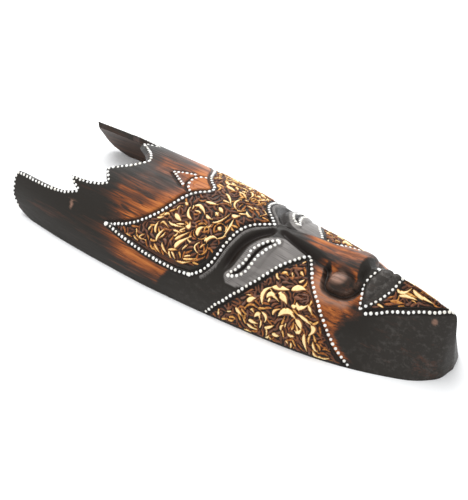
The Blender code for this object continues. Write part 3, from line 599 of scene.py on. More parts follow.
# The main strokes of the scrollwork, drawn after the photograph on the side towards the camera.
# Each is its start, middle and end in mm (round from the ridge, along the mask), its width in mm
# and its gold.
scrollwork = {
    "ground": 1.5 * mm,          # depth of the ground
    "rise": 2.2 * mm,            # strokes above the ground
    "mainShare": 1.28,           # how much of its room a main stroke takes
    "lean": 0.20,                # how far the gold lies towards the crown, a painted highlight on the lit side of each stroke, and its half width
    "core": 0.80,
    "fillWidth": (0.60 * mm, 1.60 * mm),
    "fillLength": (3.5 * mm, 8.5 * mm),
    "leastRoom": 1.00 * mm,
    "fills": 300,
    "shades": (0.0, 0.14, 0.34, 0.62, 0.9),
    "shadeShares": (0.50, 0.22, 0.14, 0.09, 0.05),
    "leaf": [
        (-58, 53, -55, 50, -58, 43, 2.7, 0.8), (-52, 46, -53, 38, -50, 28, 2.5, 1),
        (-51, 38, -49, 32, -47, 28, 2.2, 1), (-48, 27, -48, 23, -43, 25, 5.4, 1),
        (-56, 31, -55, 27, -52, 25, 1.8, 0.8), (-65, 30, -61, 27, -52, 20, 3.9, 0.9),
        (-71, 25, -67, 25, -55, 16, 5.3, 1), (-71, 19, -67, 17, -63, 15, 1.9, 1),
        (-74, 42, -78, 38, -81, 32, 3.0, 0.9), (-78, 50, -81, 45, -84, 39, 2.7, 0.7),
        (-80, 50, -83, 46, -85, 41, 1.8, 0.5), (-77, 33, -75, 28, -73, 23, 2.7, 0.8),
        (-77, 29, -79, 25, -82, 22, 2.5, 0.9), (-83, 20, -82, 13, -77, 6, 2.5, 0.9),
        (-78, 14, -76, 8, -71, 0, 2.7, 0.8), (-77, 6, -70, -3, -65, -6, 1.9, 0.4),
        (-56, 5, -63, 7, -66, -1, 2.2, 1), (-61, 2, -58, 1, -54, -1, 1.8, 0.9),
        (-66, -1, -61, -5, -53, -3, 1.9, 0.6), (-53, 1, -49, -1, -45, -6, 3.6, 1),
        (-51, 10, -46, 12, -41, 9, 5.7, 0.95), (-48, 15, -40, 15, -37, 8, 1.6, 0.25),
        (-40, 6, -38, 4, -35, 4, 1.7, 0.9), (-40, 25, -36, 32, -28, 34, 3.4, 1),
        (-31, 31, -28, 31, -26, 33, 1.6, 0.9), (-27, 31, -24, 24, -30, 15, 4.1, 1),
        (-31, 27, -30, 24, -30, 19, 2.2, 1), (-29, 14, -30, 11, -30, 8, 2.5, 1),
        (-28, 42, -28, 39, -29, 37, 3.0, 0.9), (-38, 45, -34, 45, -32, 42, 1.8, 0.8),
        (-42, 44, -44, 39, -46, 34, 5.3, 1), (-49, 54, -46, 52, -46, 49, 3.6, 0.8),
        (-68, 53, -63, 56, -56, 56, 3.4, 0.9), (-69, 62, -66, 62, -64, 61, 2.5, 0.9),
        (-75, 49, -68, 49, -61, 46, 3.6, 1), (-71, 47, -66, 44, -63, 44, 2.1, 0.9),
        (-74, 64, -79, 68, -79, 60, 1.9, 0.9), (-73, 76, -75, 74, -79, 73, 2.2, 0.9),
        (-80, 76, -82, 72, -83, 67, 1.9, 0.8), (-82, 85, -82, 81, -83, 76, 1.9, 0.7),
        (-73, 62, -75, 59, -78, 57, 1.6, 0.5), (-70, 43, -71, 39, -75, 38, 3.0, 0.15),
        (-16, 32, -21, 33, -25, 34, 3.0, 0.2), (-69, 36, -70, 33, -73, 31, 2.4, 0.12),
        (-55, 10, -56, 13, -55, 16, 1.8, 0.3), (-17, 24, -16, 17, -14, 11, 4.0, 1),
        (-14, 11, -9, 5, -9, -3, 2.2, 0.35), (-17, 8, -17, 4, -19, 1, 4.0, 1),
        (-23, 7, -23, 5, -23, 4, 4.2, 1), (-28, 14, -31, 11, -30, 6, 2.5, 1),
        (-33, 5, -28, -2, -15, -6, 2.4, 1), (-16, -8, -16, -12, -12, -15, 5.1, 1),
        (-19, -12, -30, -14, -41, -13, 2.8, 1), (-34, -5, -34, -6, -34, -7, 4.3, 1),
        (-35, -12, -31, -12, -27, -10, 1.6, 0.9), (-41, -4, -37, -1, -32, -1, 2.2, 0.45),
        (-53, -1, -46, -3, -44, -9, 3.5, 1), (-44, -9, -41, -13, -37, -15, 2.0, 0.9),
        (7, -3, -3, -2, -8, -8, 2.8, 1), (-8, -8, -8, -12, -3, -15, 1.8, 0.8),
        (-4, -8, -1, -8, 2, -8, 1.6, 0.6), (3, 14, 0, 7, -8, -1, 2.5, 1),
        (7, 13, 14, 10, 17, 4, 2.0, 0.45), (17, 4, 16, 0, 12, -5, 1.9, 0.9),
        (8, -5, 9, -8, 10, -10, 2.2, 0.9), (2, -12, 3, -17, 2, -21, 2.4, 0.9),
        (-4, -17, -7, -21, -7, -26, 2.5, 1), (6, -19, 5, -22, 7, -24, 2.2, 0.9),
        (9, -26, 8, -33, -1, -30, 2.2, 0.9), (24, -12, 18, -18, 28, -20, 1.8, 0.7),
        (15, -8, 20, -8, 21, -11, 1.8, 0.8), (15, -26, 22, -24, 27, -24, 2.2, 0.6),
        (-3, -28, -1, -21, -1, -16, 1.8, 0.25),
        (-46, 17, -40, 14, -38, 8, 1.3, 0.8), (-38, 8, -41, 3, -47, 2, 1.3, 0.6),
        (-47, 2, -52, 4, -54, 10, 1.3, 0.7), (-54, 10, -52, 15, -46, 17, 1.3, 0.5),
        (-34, -1, -30, -3, -29, -7, 1.2, 0.7), (-29, -7, -31, -11, -35, -11, 1.2, 0.5),
    ],
    "cheek": [
        (-75, -80, -65, -77, -57, -82, 4.8, 1), (-57, -82, -54, -90, -51, -98, 5.7, 1),
        (-68, -82, -63, -85, -65, -94, 5.0, 1), (-71, -85, -68, -85, -66, -85, 3.0, 0.9),
        (-59, -91, -59, -97, -63, -102, 7.0, 1), (-50, -101, -45, -106, -43, -112, 6.4, 1),
        (-62, -107, -62, -110, -60, -111, 4.2, 1), (-57, -110, -60, -116, -54, -121, 5.0, 1),
        (-54, -121, -57, -125, -60, -128, 3.3, 0.9), (-77, -99, -69, -106, -71, -116, 6.3, 1),
        (-71, -116, -73, -121, -78, -124, 5.9, 1), (-78, -124, -82, -122, -81, -118, 3.5, 1),
        (-88, -106, -85, -105, -82, -107, 3.1, 0.9), (-87, -113, -88, -116, -87, -120, 3.5, 0.9),
        (-97, -98, -96, -102, -95, -105, 4.0, 1), (-101, -95, -102, -97, -103, -99, 1.9, 0.9),
        (-66, -116, -67, -124, -70, -131, 3.5, 1), (-70, -131, -73, -135, -80, -132, 5.2, 1),
        (-80, -128, -88, -130, -96, -134, 4.0, 1), (-88, -134, -82, -133, -75, -134, 2.3, 0.7),
        (-84, -137, -90, -140, -91, -143, 3.3, 0.9), (-92, -139, -97, -145, -93, -155, 3.8, 0.9),
        (-88, -147, -86, -150, -87, -155, 1.9, 0.45), (-89, -65, -81, -70, -82, -82, 2.4, 0.5),
        (-82, -82, -84, -88, -90, -88, 4.0, 1), (-90, -77, -86, -80, -90, -83, 4.4, 1),
        (-86, -71, -85, -73, -87, -75, 2.8, 0.9), (-80, -66, -77, -68, -73, -72, 5.7, 1),
        (-93, -56, -93, -60, -96, -64, 4.9, 0.9), (-96, -72, -96, -76, -95, -81, 3.7, 1),
        (-100, -71, -101, -76, -101, -83, 3.8, 1), (-95, -89, -92, -94, -87, -98, 3.1, 0.9),
        (-108, -69, -108, -75, -108, -81, 2.3, 0.9), (-42, -84, -39, -87, -40, -91, 3.5, 0.7),
        (-40, -92, -40, -96, -36, -95, 3.0, 0.3), (-31, -99, -31, -101, -33, -104, 3.1, 0.9),
        (-40, -103, -38, -105, -35, -106, 2.8, 0.9), (-31, -90, -29, -96, -25, -100, 3.5, 0.2),
        (-79, -94, -75, -94, -70, -99, 3.1, 0.8), (-95, -112, -96, -114, -98, -115, 2.3, 0.9),
        (-50, -83, -53, -89, -49, -88, 4.0, 0.12), (-55, -107, -53, -109, -52, -115, 3.8, 0.15),
        (-76, -58, -71, -62, -67, -67, 3.1, 0.25), (-83, -142, -81, -144, -82, -147, 2.6, 0.3),
    ],
    "chin": [
        (-10, -187, -12, -194, -4, -199, 3.6, 1), (-16, -192, -13, -198, -11, -208, 4.2, 1),
        (-4, -201, -6, -209, -5, -222, 4.6, 1), (-23, -186, -22, -192, -20, -199, 4.2, 0.45),
        (-18, -183, -13, -184, -9, -186, 3.4, 0.3), (-10, -196, -10, -201, -9, -207, 2.9, 0.6),
        (-28, -182, -26, -187, -24, -192, 2.7, 0.25),
    ],
}


def mainStroke(stroke):
    # quadratic curve through start, middle and end, full before its middle and fine at both ends
    start, middle, end = (np.array(stroke[k:k + 2]) * mm for k in (0, 2, 4))
    bend = 2.0 * middle - 0.5 * (start + end)
    t = np.linspace(0.0, 1.0, 11)[:, None]
    path = (1.0 - t) ** 2 * start + 2.0 * t * (1.0 - t) * bend + t ** 2 * end
    widest = 0.5 * scrollwork["mainShare"] * stroke[6] * mm
    return path, widest * (0.14 + 0.86 * np.sin(np.pi * t[:, 0] ** 0.75) ** 1.15)


def leafStroke(root, heading, length, bend, width, steps=9):
    # a comma: its path bends evenly, and it is full near its head and runs out to a fine tail
    t = np.linspace(0.0, 1.0, steps)
    angle = heading + bend * t
    stride = length / (steps - 1)
    path = root + np.cumsum(np.stack([np.cos(angle), np.sin(angle)], axis=1) * stride, axis=0)
    return path, width * (0.15 + 0.85 * np.sin(np.pi * t ** 0.62) ** 0.8)


def mirroredStroke(stroke):
    return tuple(-v if k in (0, 2, 4) else v for k, v in enumerate(stroke))


def strokeGap(path, half, across, along, spare=6.0 * mm):
    # for the points near a stroke: their indices, gap from the middle, half width there, and the
    # side they lie on, 1 towards the crown
    low, high = path.min(axis=0) - spare, path.max(axis=0) + spare
    near = np.flatnonzero((across > low[0]) & (across < high[0]) & (along > low[1]) & (along < high[1]))
    x, y = across[near], along[near]
    best = np.full(len(near), 1.0)
    width = np.full(len(near), half[0])
    side = np.ones(len(near))
    for start, end, first, last in zip(path[:-1], path[1:], half[:-1], half[1:]):
        step = end - start
        run = np.clip(((x - start[0]) * step[0] + (y - start[1]) * step[1]) / (step @ step), 0.0, 1.0)
        gap = np.hypot(x - start[0] - step[0] * run, y - start[1] - step[1] * run)
        wide = first + (last - first) * run
        nearer = gap - wide < best - width
        best = np.where(nearer, gap, best)
        width = np.where(nearer, wide, width)
        cross = (step[0] * (y - start[1]) - step[1] * (x - start[0])) * (1.0 if step[0] > 0.0 else -1.0)
        side = np.where(nearer, np.sign(cross), side)
    return near, best, width, side


def scrollField(strokes, room, across, along, seed):
    # raised share and gold on flat lists of points. The main strokes come first, and then a small
    # leaf in each widest space that is left, turned like the nearest stroke. Across a stroke the
    # height is a half ellipse, and the gold a smooth step of a parabola that leans to the crown, a painted
    # highlight on the lit side of the gilt stroke
    chance = np.random.default_rng(seed)
    raised = np.zeros(across.shape)
    gold = np.zeros(across.shape)
    free = room.copy()
    middles, headings = [], []

    def carve(path, half, shine, lift):
        near, gap, width, side = strokeGap(path, half, across, along)
        shape = np.clip(1.0 - (gap / width) ** 2, 0.0, 1.0)
        higher = np.sqrt(shape) * lift > raised[near]
        # the gold leans to the crown's side of the stroke: a painted highlight on its lit side
        crown = 1.0 - ((side * gap / width - scrollwork["lean"]) / scrollwork["core"]) ** 2
        gold[near] = np.where(higher, shine * eased(crown, 0.0, 0.65), gold[near])
        raised[near] = np.maximum(raised[near], np.sqrt(shape) * lift)
        free[near] = np.minimum(free[near], gap - width)
        middle = len(path) // 2
        step = path[middle + 1] - path[middle - 1]
        middles.append(path[middle])
        headings.append(math.atan2(step[1], step[0]))

    for stroke in strokes:
        path, half = mainStroke(stroke)
        carve(path, half, stroke[7] * chance.uniform(0.92, 1.0), chance.uniform(0.9, 1.0))
    for _ in range(scrollwork["fills"]):
        widest = np.argmax(free)
        space = free[widest]
        if space < scrollwork["leastRoom"]:
            break
        spot = np.array([across[widest], along[widest]])
        away = np.array(middles) - spot
        heading = headings[int(np.argmin(np.hypot(away[:, 0], away[:, 1])))] + chance.normal(0.0, 0.4)
        length = np.clip(space * 5.0, *scrollwork["fillLength"])
        width = np.clip(space * 0.82, *scrollwork["fillWidth"])
        path, half = leafStroke(np.zeros(2), heading, length, chance.uniform(-1.9, 1.9), width)
        shine = chance.choice(scrollwork["shades"], p=scrollwork["shadeShares"])
        carve(path + spot - path[4], half, shine, chance.uniform(0.45, 0.85))
        free[widest] = min(free[widest], 0.0)
    return raised, gold


# meshes
def newPiece(name, points, faces, material):
    mesh = bpy.data.meshes.new(name)
    mesh.from_pydata(np.asarray(points).tolist(), [], [list(face) for face in faces])
    mesh.update()
    piece = bpy.data.objects.new(name, mesh)
    scene.collection.objects.link(piece)
    for one in (material if isinstance(material, list) else [material]):
        mesh.materials.append(one)
    mesh.polygons.foreach_set("use_smooth", np.ones(len(mesh.polygons), bool))
    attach(piece, "root")
    return piece


def addAttribute(piece, name, values):
    attribute = piece.data.attributes.new(name, "FLOAT", "POINT")
    attribute.data.foreach_set("value", np.asarray(values, np.float32).ravel())


def turnOutwards(piece, mergeWithin=0.0):
    # points nearer than the distance become one, and every face is turned outwards
    work = bmesh.new()
    work.from_mesh(piece.data)
    if mergeWithin > 0.0:
        bmesh.ops.remove_doubles(work, verts=work.verts, dist=mergeWithin)
    bmesh.ops.recalc_face_normals(work, faces=work.faces)
    work.to_mesh(piece.data)
    work.free()


def gridQuads(rows, columns, first=0):
    corner = (np.arange(rows - 1)[:, None] * columns + np.arange(columns - 1)[None, :]).ravel() + first
    return np.stack([corner, corner + columns, corner + columns + 1, corner + 1], axis=1)


def bothSides(half):
    # the half grid and its mirror image, from the -X rim to the +X rim
    mirrored = half[:, :0:-1].copy()
    if half.ndim == 3:
        mirrored[:, :, 0] *= -1.0
    return np.concatenate([mirrored, half], axis=1)


def spread(marks, counts):
    runs = [np.linspace(a, b, n, endpoint=False) for a, b, n in zip(marks[:-1], marks[1:], counts)]
    return np.concatenate(runs + [[marks[-1]]])


skin = {
    "columnMarks": (0.0, 0.45, 1.0),
    "columnCounts": (66, 38),
    "rowMarks": (-0.49, -0.385, -0.045, 0.190),
    "rowCounts": (44, 188, 76),
    "crownRows": 60,
    "hollowStep": 6,            # the hollow keeps one row in six
}


def skinColumns():
    even = spread(skin["columnMarks"], skin["columnCounts"])
    corners = np.array([point[0] for point in drawn["crownEdge"]])
    spare = [g for g in even if np.min(np.abs(corners - g)) > 0.0035]
    return np.sort(np.concatenate([corners, spare]))


def skinRows(girth, bevel):
    level = spread(skin["rowMarks"], skin["rowCounts"])
    edge = np.interp(girth, *np.array(drawn["crownEdge"]).T) + bevel
    fan = np.linspace(0.0, 1.0, skin["crownRows"] + 1)[1:, None]
    upper = form["crownStart"] + (edge[None, :] - form["crownStart"]) * fan
    return np.concatenate([np.repeat(level[:, None], len(girth), axis=1), upper])


# how far each finely carved patch reaches past its lines. The functions below give how far a
# point lies inside a patch, in metres; less than 0 is outside
patchReach = {"leaf": 5.7 * mm, "cheek": 3.4 * mm, "chin": 3.4 * mm, "petal": 5.4 * mm,
              "rimGirth": 0.988}


def depthInside(outline, edges, reach, across, along):
    # the distance from the edges, added to the reach inside the outline and taken off it outside
    gap = np.minimum.reduce([gapTo(edge, across, along) for edge in edges])
    return np.where(insideOf(outline, across, along), gap + reach, reach - gap)


def leafInside(girth, across, along):
    # the outline closes along the ridge, which is no edge of the patch
    edges = (lines["leafTop"], lines["leafFoot"])
    depth = depthInside(leafOutline, edges, patchReach["leaf"], across, along)
    for name in ("petal", "arch"):
        gap = gapTo(lines[name], across, along)
        depth = np.maximum(depth, patchReach["petal"] - gap)
    return depth


def cheekInside(girth, across, along):
    depth = depthInside(cheekOutline, (cheekOutline,), patchReach["cheek"], across, along)
    toRim = (patchReach["rimGirth"] - girth) * across / np.maximum(girth, 1e-6)
    return np.minimum(depth, toRim)


def chinInside(girth, across, along):
    edges = (lines["lowerLip"], lines["chinEdge"])
    return depthInside(chinOutline, edges, patchReach["chin"], across, along)


# how far the skin lies below the finely carved patches, and the depths inside them between which
# it sinks
skinSunk = 1.4 * mm
sinking = (0.9 * mm, 2.6 * mm)


def shadesAt(girth, across, along):
    return {"burnAndShade": burnAndShadeAt(girth, across, along), "cut": cutAt(across, along),
            "lid": lidAt(across, along), "sheenAndWear": sheenAndWearAt(girth, across, along),
            "bloom": bloomAt(girth, along), "round": across / mm}


def frontHalf(girth):
    # the undecorated front moved along its normals by the carving, and sunk under the patches
    points, lengths = frontGrid(girth, skinRows(girth, 0.0))
    along = points[:, :, 1]
    share = np.broadcast_to(girth[None, :], along.shape)
    across = share * lengths
    height = carvedHeight(share, across, along)
    depth = np.maximum(np.maximum(leafInside(share, across, along), cheekInside(share, across, along)),
                       chinInside(share, across, along))
    height = height - skinSunk * eased(depth, *sinking)
    carved = points + outwardNormals(points) * height[:, :, None]
    carved[:, 0, 0] = 0.0
    carved[0, :, 0] = 0.0
    carved[:, -1, 2] = 0.0
    return carved, shadesAt(share, across, along)


def hollowHalf(girth):
    # the plain front drawn in: across by the share of the wall in the half width, up by its share
    # of the ridge's height, and along only beyond the pivot
    bevel = form["crownBevel"] / maskLength * fading(girth, *form["bevelGirths"])
    points, _ = frontGrid(girth, skinRows(girth, bevel))
    place = points[:, :, 1] / maskLength
    wall = form["faceWall"] + (form["crownWall"] - form["faceWall"]) * eased(place, *form["wallPlaces"])
    half = np.maximum(points[:, -1:, 0], form["leastHalf"] * maskWidth)
    hollow = points.copy()
    hollow[:, :, 0] *= 1.0 - wall / half
    hollow[:, :, 2] *= 1.0 - wall / points[:, :1, 2]
    pivot = form["hollowPivot"] * maskLength
    shrink = 1.0 - form["faceWall"] / (0.5 * maskLength + pivot)
    hollow[:, :, 1] = np.where(points[:, :, 1] < pivot, pivot + (points[:, :, 1] - pivot) * shrink,
                               points[:, :, 1])
    hollow[:, 0, 0] = 0.0
    hollow[:, -1, 2] = 0.0
    return hollow


def roundedEdge(edge, before, after, radius):
    # three rows that turn the sharp edge between two faces into a small round one
    back, on = [radius * way / np.linalg.norm(way, axis=1)[:, None]
                for way in (before - edge, after - edge)]
    return edge + back, edge + 0.29 * (back + on), edge + on


def makeSkin(material, hollowMaterial):
    girth = skinColumns()
    half, colours = frontHalf(girth)
    front = bothSides(half)
    hollow = bothSides(hollowHalf(girth))[::skin["hollowStep"]]
    radius = form["edgeRadius"]
    hollowEdge = hollow[-1].copy()
    one, two, three = roundedEdge(front[-1], front[-2], hollowEdge, radius)
    front[-1] = one
    four, five, six = roundedEdge(hollowEdge, front[-1], hollow[-2], radius)
    hollow[-1] = six
    crownRows = np.stack([two, three, four, five])
    rows, columns = front.shape[:2]
    fewRows = hollow.shape[0]
    frontCount = rows * columns
    step = skin["hollowStep"]
    outer = gridQuads(rows, columns)
    inner = gridQuads(fewRows, columns, frontCount)[:, ::-1]
    crownFirst = frontCount + fewRows * columns
    across = np.arange(columns)
    loops = ([(rows - 1) * columns + across] + [crownFirst + k * columns + across for k in range(4)]
             + [frontCount + (fewRows - 1) * columns + across])
    crown = np.concatenate([np.stack([a[:-1], b[:-1], b[1:], a[1:]], axis=1)
                            for a, b in zip(loops[:-1], loops[1:])])
    span = np.arange(fewRows - 1)
    rims = []
    for column in (0, columns - 1):
        low = frontCount + span * columns + column
        fine = [(span * step + k) * columns + column for k in range(step, -1, -1)]
        rims.append(np.stack([low, low + columns] + fine, axis=1))
    ends = [[loop[k] for loop in loops] for k in (0, -1)]
    faces = (outer.tolist() + inner.tolist() + crown.tolist() + rims[0].tolist() + rims[1].tolist()
             + [[int(v) for v in end] for end in ends])
    points = np.concatenate([front.reshape(-1, 3), hollow.reshape(-1, 3), crownRows.reshape(-1, 3)])
    piece = newPiece("mask_skin", points, faces, [material, hollowMaterial])
    spare = len(points) - frontCount
    for name, values in colours.items():
        level = 1.05 if name == "burnAndShade" else 0.0
        addAttribute(piece, name, np.concatenate([bothSides(values).ravel(), np.full(spare, level)]))
    for name in ("gold", "field", "rise"):
        addAttribute(piece, name, np.zeros(len(points)))
    kinds = np.zeros(len(faces), np.int32)
    kinds[len(outer):len(outer) + len(inner)] = 1
    piece.data.polygons.foreach_set("material_index", kinds)
    turnOutwards(piece, 1e-6)
    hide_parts("carved_mask")
    return piece


# finely carved patches that lie on the skin, each with its edge turned down into it
patch = {
    "step": 0.63 * mm,
    "raised": 0.05 * mm,        # above the skin where both show the same wood
    "edgeDrop": 1.5 * mm,
    "thickness": 1.6 * mm,
    "girthLength": 0.118,       # metres round the mask that set the number of columns
    "fieldEdge": 0.9 * mm,      # the ground sinks over this width
    "edgeWidth": 1.0 * mm,
    "keptOutside": 0.6 * mm,
    "rimClear": 0.5 * mm,
}


def signedBothSides(half):
    return np.concatenate([-half[:, :0:-1], half], axis=1)


def makePatch(name, insideFunction, girthRange, placeRange, border, strokes, seed, material, twoSided):
    columns = int((girthRange[1] - girthRange[0]) * patch["girthLength"] / patch["step"]) + 1
    rows = int((placeRange[1] - placeRange[0]) * maskLength / patch["step"]) + 1
    girth = np.linspace(*girthRange, columns)
    places = np.repeat(np.linspace(*placeRange, rows)[:, None], columns, axis=1)
    points, lengths = frontGrid(girth, places)
    along = points[:, :, 1]
    share = np.broadcast_to(girth[None, :], along.shape)
    across = share * lengths
    depth = insideFunction(share, across, along)
    height = carvedHeight(share, across, along)
    outline, edges = border
    gap = np.full(along.shape, 1.0)
    for edge, clear in edges:
        near, walked = distanceTo(edge, across, along)
        gap = np.minimum(gap, near - np.interp(walked, *clear) * mm)
    if girthRange[1] > 0.99:
        gap = np.minimum(gap, (1.0 - share) * lengths - patch["rimClear"])
    inField = insideOf(outline, across, along) & (gap > 0.0)
    shades = shadesAt(share, across, along)
    grids = [points, along, height, gap, inField, depth]
    if twoSided:
        grids = [bothSides(one) for one in grids]
        shades = {key: bothSides(value) for key, value in shades.items()}
        across = signedBothSides(across)
    points, along, height, gap, inField, depth = grids
    flat = np.flatnonzero(inField.ravel())
    gap = gap.ravel()[flat]
    raised, gold = scrollField(strokes, gap, across.ravel()[flat], along.ravel()[flat], seed)
    edgeIn = eased(gap, 0.0, patch["fieldEdge"])
    for key, values in (("field", edgeIn), ("gold", gold * edgeIn), ("rise", raised)):
        whole = np.zeros(along.size)
        whole[flat] = values
        shades[key] = whole.reshape(along.shape)
    fade = eased(along / maskLength, *form["chinTipPlain"])
    height = height + shades["field"] * fade * (scrollwork["rise"] * shades["rise"] - scrollwork["ground"])
    height = height + patch["raised"] - patch["edgeDrop"] * fading(depth, 0.0, patch["edgeWidth"])
    normals = outwardNormals(points)
    top = points + normals * height[:, :, None]
    under = points + normals * (np.minimum(height, 0.0) - patch["thickness"])[:, :, None]
    for sheet in (top, under):
        sheet[:, :, 2] = np.maximum(sheet[:, :, 2], 0.0)
    kept = depth > -patch["keptOutside"]
    if twoSided:
        top[:, columns - 1, 0] = 0.0
        under[:, columns - 1, 0] = 0.0
        addSheet(name, top, under, kept, shades, material)
        return
    addSheet(name + "_right", top, under, kept, shades, material)
    flip = np.array([-1.0, 1.0, 1.0])
    addSheet(name + "_left", top * flip, under * flip, kept, shades, material)


def addSheet(name, top, under, kept, colours, material):
    # the kept part of a grid as a closed sheet: its face, its under side and the wall between
    rows, columns = kept.shape
    quads = gridQuads(rows, columns)
    whole = kept.ravel()[quads].all(axis=1)
    quads = quads[whole]
    count = rows * columns
    pairs = np.concatenate([quads[:, [k, (k + 1) % 4]] for k in range(4)])
    keys = pairs[:, 0].astype(np.int64) * count + pairs[:, 1]
    mirrored = pairs[:, 1].astype(np.int64) * count + pairs[:, 0]
    rim = pairs[~np.isin(keys, mirrored)]
    walls = np.stack([rim[:, 1], rim[:, 0], rim[:, 0] + count, rim[:, 1] + count], axis=1)
    faces = np.concatenate([quads, quads[:, ::-1] + count, walls])
    used = np.unique(faces)
    index = np.full(2 * count, -1)
    index[used] = np.arange(len(used))
    points = np.concatenate([top.reshape(-1, 3), under.reshape(-1, 3)])[used]
    piece = newPiece(name, points, index[faces].tolist(), material)
    for key, values in colours.items():
        addAttribute(piece, key, np.concatenate([values.ravel(), values.ravel()])[used])
    turnOutwards(piece)
    print(name, len(piece.data.polygons))


# materials
def plainMaterial(name, colour, roughness):
    material = bpy.data.materials.new(name)
    material.use_nodes = True
    shader = material.node_tree.nodes["Principled BSDF"]
    shader.inputs["Base Color"].default_value = (*colour, 1.0)
    shader.inputs["Roughness"].default_value = roughness
    return material


def addNode(tree, kind, inputs=None, **settings):
    # a node with its settings, and its inputs given as values or as sockets to link from
    node = tree.nodes.new(kind)
    for key, value in settings.items():
        setattr(node, key, value)
    for key, value in (inputs or {}).items():
        if isinstance(value, bpy.types.NodeSocket):
            tree.links.new(value, node.inputs[key])
        else:
            node.inputs[key].default_value = value
    return node


def newFinish(name):
    # a material, its node tree, its shader and the coordinates on the object
    material = bpy.data.materials.new(name)
    material.use_nodes = True
    tree = material.node_tree
    place = addNode(tree, "ShaderNodeTexCoord").outputs["Object"]
    return material, tree, tree.nodes["Principled BSDF"], place


def attributeOf(tree, name):
    return addNode(tree, "ShaderNodeAttribute", attribute_type="GEOMETRY", attribute_name=name).outputs["Fac"]


def calculate(tree, operation, a, b=0.0, clamp=False):
    return addNode(tree, "ShaderNodeMath", {0: a, 1: b}, operation=operation, use_clamp=clamp).outputs[0]


def plus(tree, a, b, clamp=False):
    return calculate(tree, "ADD", a, b, clamp)


def times(tree, a, b):
    return calculate(tree, "MULTIPLY", a, b)


def mixColour(tree, share, a, b):
    # the colours are sockets, or red, green and blue
    a, b = [(*one, 1.0) if isinstance(one, tuple) else one for one in (a, b)]
    return addNode(tree, "ShaderNodeMix", {0: share, 6: a, 7: b}, data_type="RGBA").outputs[2]


def rampOf(tree, value, stops):
    ramp = addNode(tree, "ShaderNodeValToRGB", {0: value})
    bar = ramp.color_ramp
    while len(bar.elements) < len(stops):
        bar.elements.new(0.5)
    for element, (position, colour) in zip(bar.elements, stops):
        element.position = position
        element.color = (*colour, 1.0)
    return ramp.outputs["Color"]


def noiseAlong(tree, coordinates, stretch, scale, detail=4.0, roughness=0.6, distortion=0.0):
    # noise drawn out along the mask, as grain is
    mapped = addNode(tree, "ShaderNodeMapping", {"Vector": coordinates, "Scale": (1.0, stretch, 1.0)})
    noise = addNode(tree, "ShaderNodeTexNoise", {"Vector": mapped.outputs[0], "Scale": scale,
                                                 "Detail": detail, "Roughness": roughness,
                                                 "Distortion": distortion})
    return noise.outputs["Fac"]


wood = {
    "bare": [(0.00, (0.46, 0.145, 0.030)), (0.22, (0.285, 0.076, 0.015)), (0.45, (0.120, 0.034, 0.010)),
             (0.66, (0.044, 0.019, 0.011)), (1.00, (0.014, 0.011, 0.008))],
    "streak": 0.90,
    "blotch": 0.70,
    "fine": 0.40,
    "dash": 0.45,
    # painted grey sheen on the black lacquered lids and brow rib
    "lid": (0.205, 0.190, 0.180),
    "hatch": (0.030, 0.026, 0.023),
    "hatchSpacing": 1.75,       # mm
    # pinkish grey of the painted sheen and of the real worn wood
    "sheenAndWear": (0.37, 0.205, 0.145),
    "bloom": (0.150, 0.138, 0.128),
    "specular": 0.24,
    "cut": (0.010, 0.006, 0.004),
    "ground": (0.013, 0.006, 0.004),
    "flank": [(0.25, (0.030, 0.011, 0.007)), (0.65, (0.140, 0.052, 0.024)), (1.00, (0.180, 0.105, 0.088))],
    # gold paint; its lightest stop, pale yellow, is a painted highlight
    "gold": [(0.00, (0.130, 0.036, 0.011)), (0.32, (0.330, 0.105, 0.020)), (0.60, (0.660, 0.340, 0.075)),
             (0.92, (0.950, 0.760, 0.390))],
}


def spanOf(tree, value, low, high, toLow=0.0, toHigh=1.0):
    # the value moved from low..high to toLow..toHigh, and held there
    node = addNode(tree, "ShaderNodeMapRange", {"Value": value, "From Min": low, "From Max": high,
                                                "To Min": toLow, "To Max": toHigh})
    return node.outputs[0]


